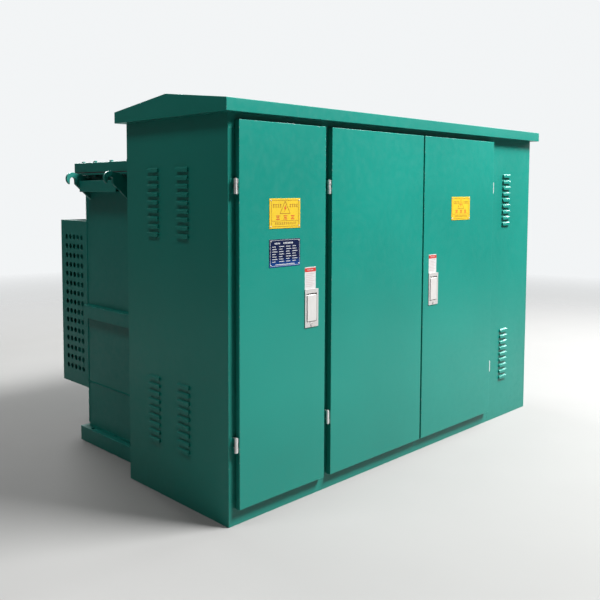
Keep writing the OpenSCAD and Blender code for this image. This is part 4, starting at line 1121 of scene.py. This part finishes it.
class TRANSFORMER_OT_cooling(Step):
    """Makes the pressed radiator plates and their headers"""

    bl_idname = "transformer.cooling"
    bl_label = "Radiators"

    def build(self, scene):
        thickest = 0.03
        plates, pipes = [], []
        for lo, hi in lumps("radiators"):
            (plates if hi.x - lo.x < thickest else pipes).append((lo, hi))
        lo, hi = plates[0]
        points = [((a + b) / 2, (1, 0, 0)) for a, b in plates]
        fins = plate_pattern(hi.y - lo.y, hi.z - lo.z, hi.x - lo.x, scene.tank_finish.flutes)
        piece = fins.grow("radiator_plates", points, "tank_paint", FIXED, "radiators")
        smooth_over(piece, 50)
        for i, (a, b) in enumerate(pipes):
            self.header(f"radiator_header_{i}", a, b)

    def header(self, name, lo, hi):
        """A header pipe with domed ends and its stubs to the tank."""
        bm = bmesh.new()
        r = (hi.z - lo.z) / 2
        y, z = hi.y - r, (lo.z + hi.z) / 2
        sides, dome, bulge, pole = 32, 5, 0.35, 0.0001
        spans = []
        for i in range(dome + 1):
            turn = math.pi / 2 * i / dome
            spans.append((lo.x + r * bulge * (1 - math.cos(turn)), max(pole, r * math.sin(turn))))
        spans += [(hi.x - (x - lo.x), wide) for x, wide in reversed(spans)]
        rings = [self.ring(bm, "X", (x, y, z), wide, sides) for x, wide in spans]
        for a, b in zip(rings, rings[1:]):
            skin(bm, a, b)
        for ring in (rings[0], rings[-1]):
            bmesh.ops.contextual_create(bm, geom=ring)
        wall, flange, stub_sides = 0.006, 0.008, 28
        stub_x = 0.3952 * (hi.x - lo.x)
        for x in (-stub_x, 0.0, stub_x):
            for wide, end in ((r - wall, y), (r + flange, lo.y + wall)):
                stub = [self.ring(bm, "Y", (x, at, z), wide, stub_sides) for at in (lo.y, end)]
                skin(bm, *stub)
                for ring in stub:
                    bmesh.ops.contextual_create(bm, geom=ring)
        bmesh.ops.recalc_face_normals(bm, faces=bm.faces)
        smooth_over(place(name, to_mesh(bm, name), "tank_paint", FIXED))

    def ring(self, bm, axis, centre, radius, sides):
        """A ring of vertices round the X or the Y axis."""
        verts = []
        for k in range(sides):
            c, s = math.cos(math.tau * k / sides), math.sin(math.tau * k / sides)
            offset = Vector((0, c, s) if axis == "X" else (c, 0, s))
            verts.append(bm.verts.new(Vector(centre) + offset * radius))
        return verts


class TRANSFORMER_OT_fittings(Step):
    """Finishes the bushings, fuses, gauges, valves, bars and breaker, and coats what is left"""

    bl_idname = "transformer.fittings"
    bl_label = "Fittings"

    def build(self, scene):
        rounded = {
            "hv_bushings": (0.0008, 0.003), "fuse_holders": (0.0008, 0.003),
            "load_break_switch": (0.0015, 0.01), "tap_changer": (0.0015, 0.01),
            "dial_gauges": (0.0006, 0.004), "sight_glass": (0.0005, 0.004),
            "tank_valves": (0.0006, 0.004), "ground_bar": (0.0008, 0.008),
            "lv_bushings": (0.0008, 0.004), "lv_busbars": (0.0008, 0.006),
            "breaker": (0.002, 0.02), "breaker_toggle": (0.0012, 0.008),
            "switch_handle": (0.0012, 0.01), "tap_knob": (0.001, 0.006),
            "fuse_stick_a": (0.001, 0.5), "fuse_stick_b": (0.001, 0.5),
            "fuse_stick_c": (0.001, 0.5),
        }
        for node, (radius, shortest) in rounded.items():
            detailed(node, radius, shortest)
        for node in ("thermometer_pointer", "pressure_pointer", "valve_wheel", "core",
                     "core_clamps", "lv_coils", "hv_coils", "guard_sides", "guard_rear"):
            carried = NODES[node].data
            carried.materials.clear()
            carried.materials.append(finish_of(SLOT_OF[node]))
        self.dials(scene.fitting_sizes.ticks)

    def dials(self, count):
        """The marks round both gauges' dials."""
        marks = []
        for lo, hi in lumps("dial_gauges"):
            sunk = 0.0072
            centre = Vector(((lo.x + hi.x) / 2, lo.y + sunk, (lo.z + hi.z) / 2))
            for i in range(count):
                turn = DIAL_SWING * (2 * i / (count - 1) - 1)
                aim = Vector((math.sin(turn), 0, math.cos(turn)))
                marks.append((centre + aim * DIAL_RADIUS, aim))
        tick_pattern(0.0045, 0.0009, 0.0008).grow("dial_marks", marks, "ink_black", FIXED)


class TRANSFORMER_PT_panel(bpy.types.Panel):
    """Lists the sizes, the colours and the steps"""

    bl_idname = "TRANSFORMER_PT_panel"
    bl_label = "Pad-mounted transformer"
    bl_space_type = "VIEW_3D"
    bl_region_type = "UI"
    bl_category = "Transformer"

    def draw(self, context):
        for key, group in GROUPS.items():
            box = self.layout.box()
            for name in group.__annotations__:
                box.prop(getattr(context.scene, key), name)
        for step in STEPS:
            self.layout.operator(step.bl_idname)


STEPS = (
    TRANSFORMER_OT_studio,
    TRANSFORMER_OT_cabinet,
    TRANSFORMER_OT_doors,
    TRANSFORMER_OT_locks,
    TRANSFORMER_OT_signs,
    TRANSFORMER_OT_bolts,
    TRANSFORMER_OT_tank,
    TRANSFORMER_OT_cooling,
    TRANSFORMER_OT_fittings,
)


def register():
    for item in (*GROUPS.values(), *STEPS, TRANSFORMER_PT_panel):
        bpy.utils.register_class(item)
    for key, group in GROUPS.items():
        setattr(bpy.types.Scene, key, PointerProperty(type=group))


def unregister():
    for key in GROUPS:
        delattr(bpy.types.Scene, key)
    for item in reversed((*GROUPS.values(), *STEPS, TRANSFORMER_PT_panel)):
        bpy.utils.unregister_class(item)


def main():
    register()
    for step in STEPS:
        getattr(bpy.ops.transformer, step.bl_idname.split(".")[1])()
    bpy.context.view_layer.update()


if __name__ == "__main__":
    main()
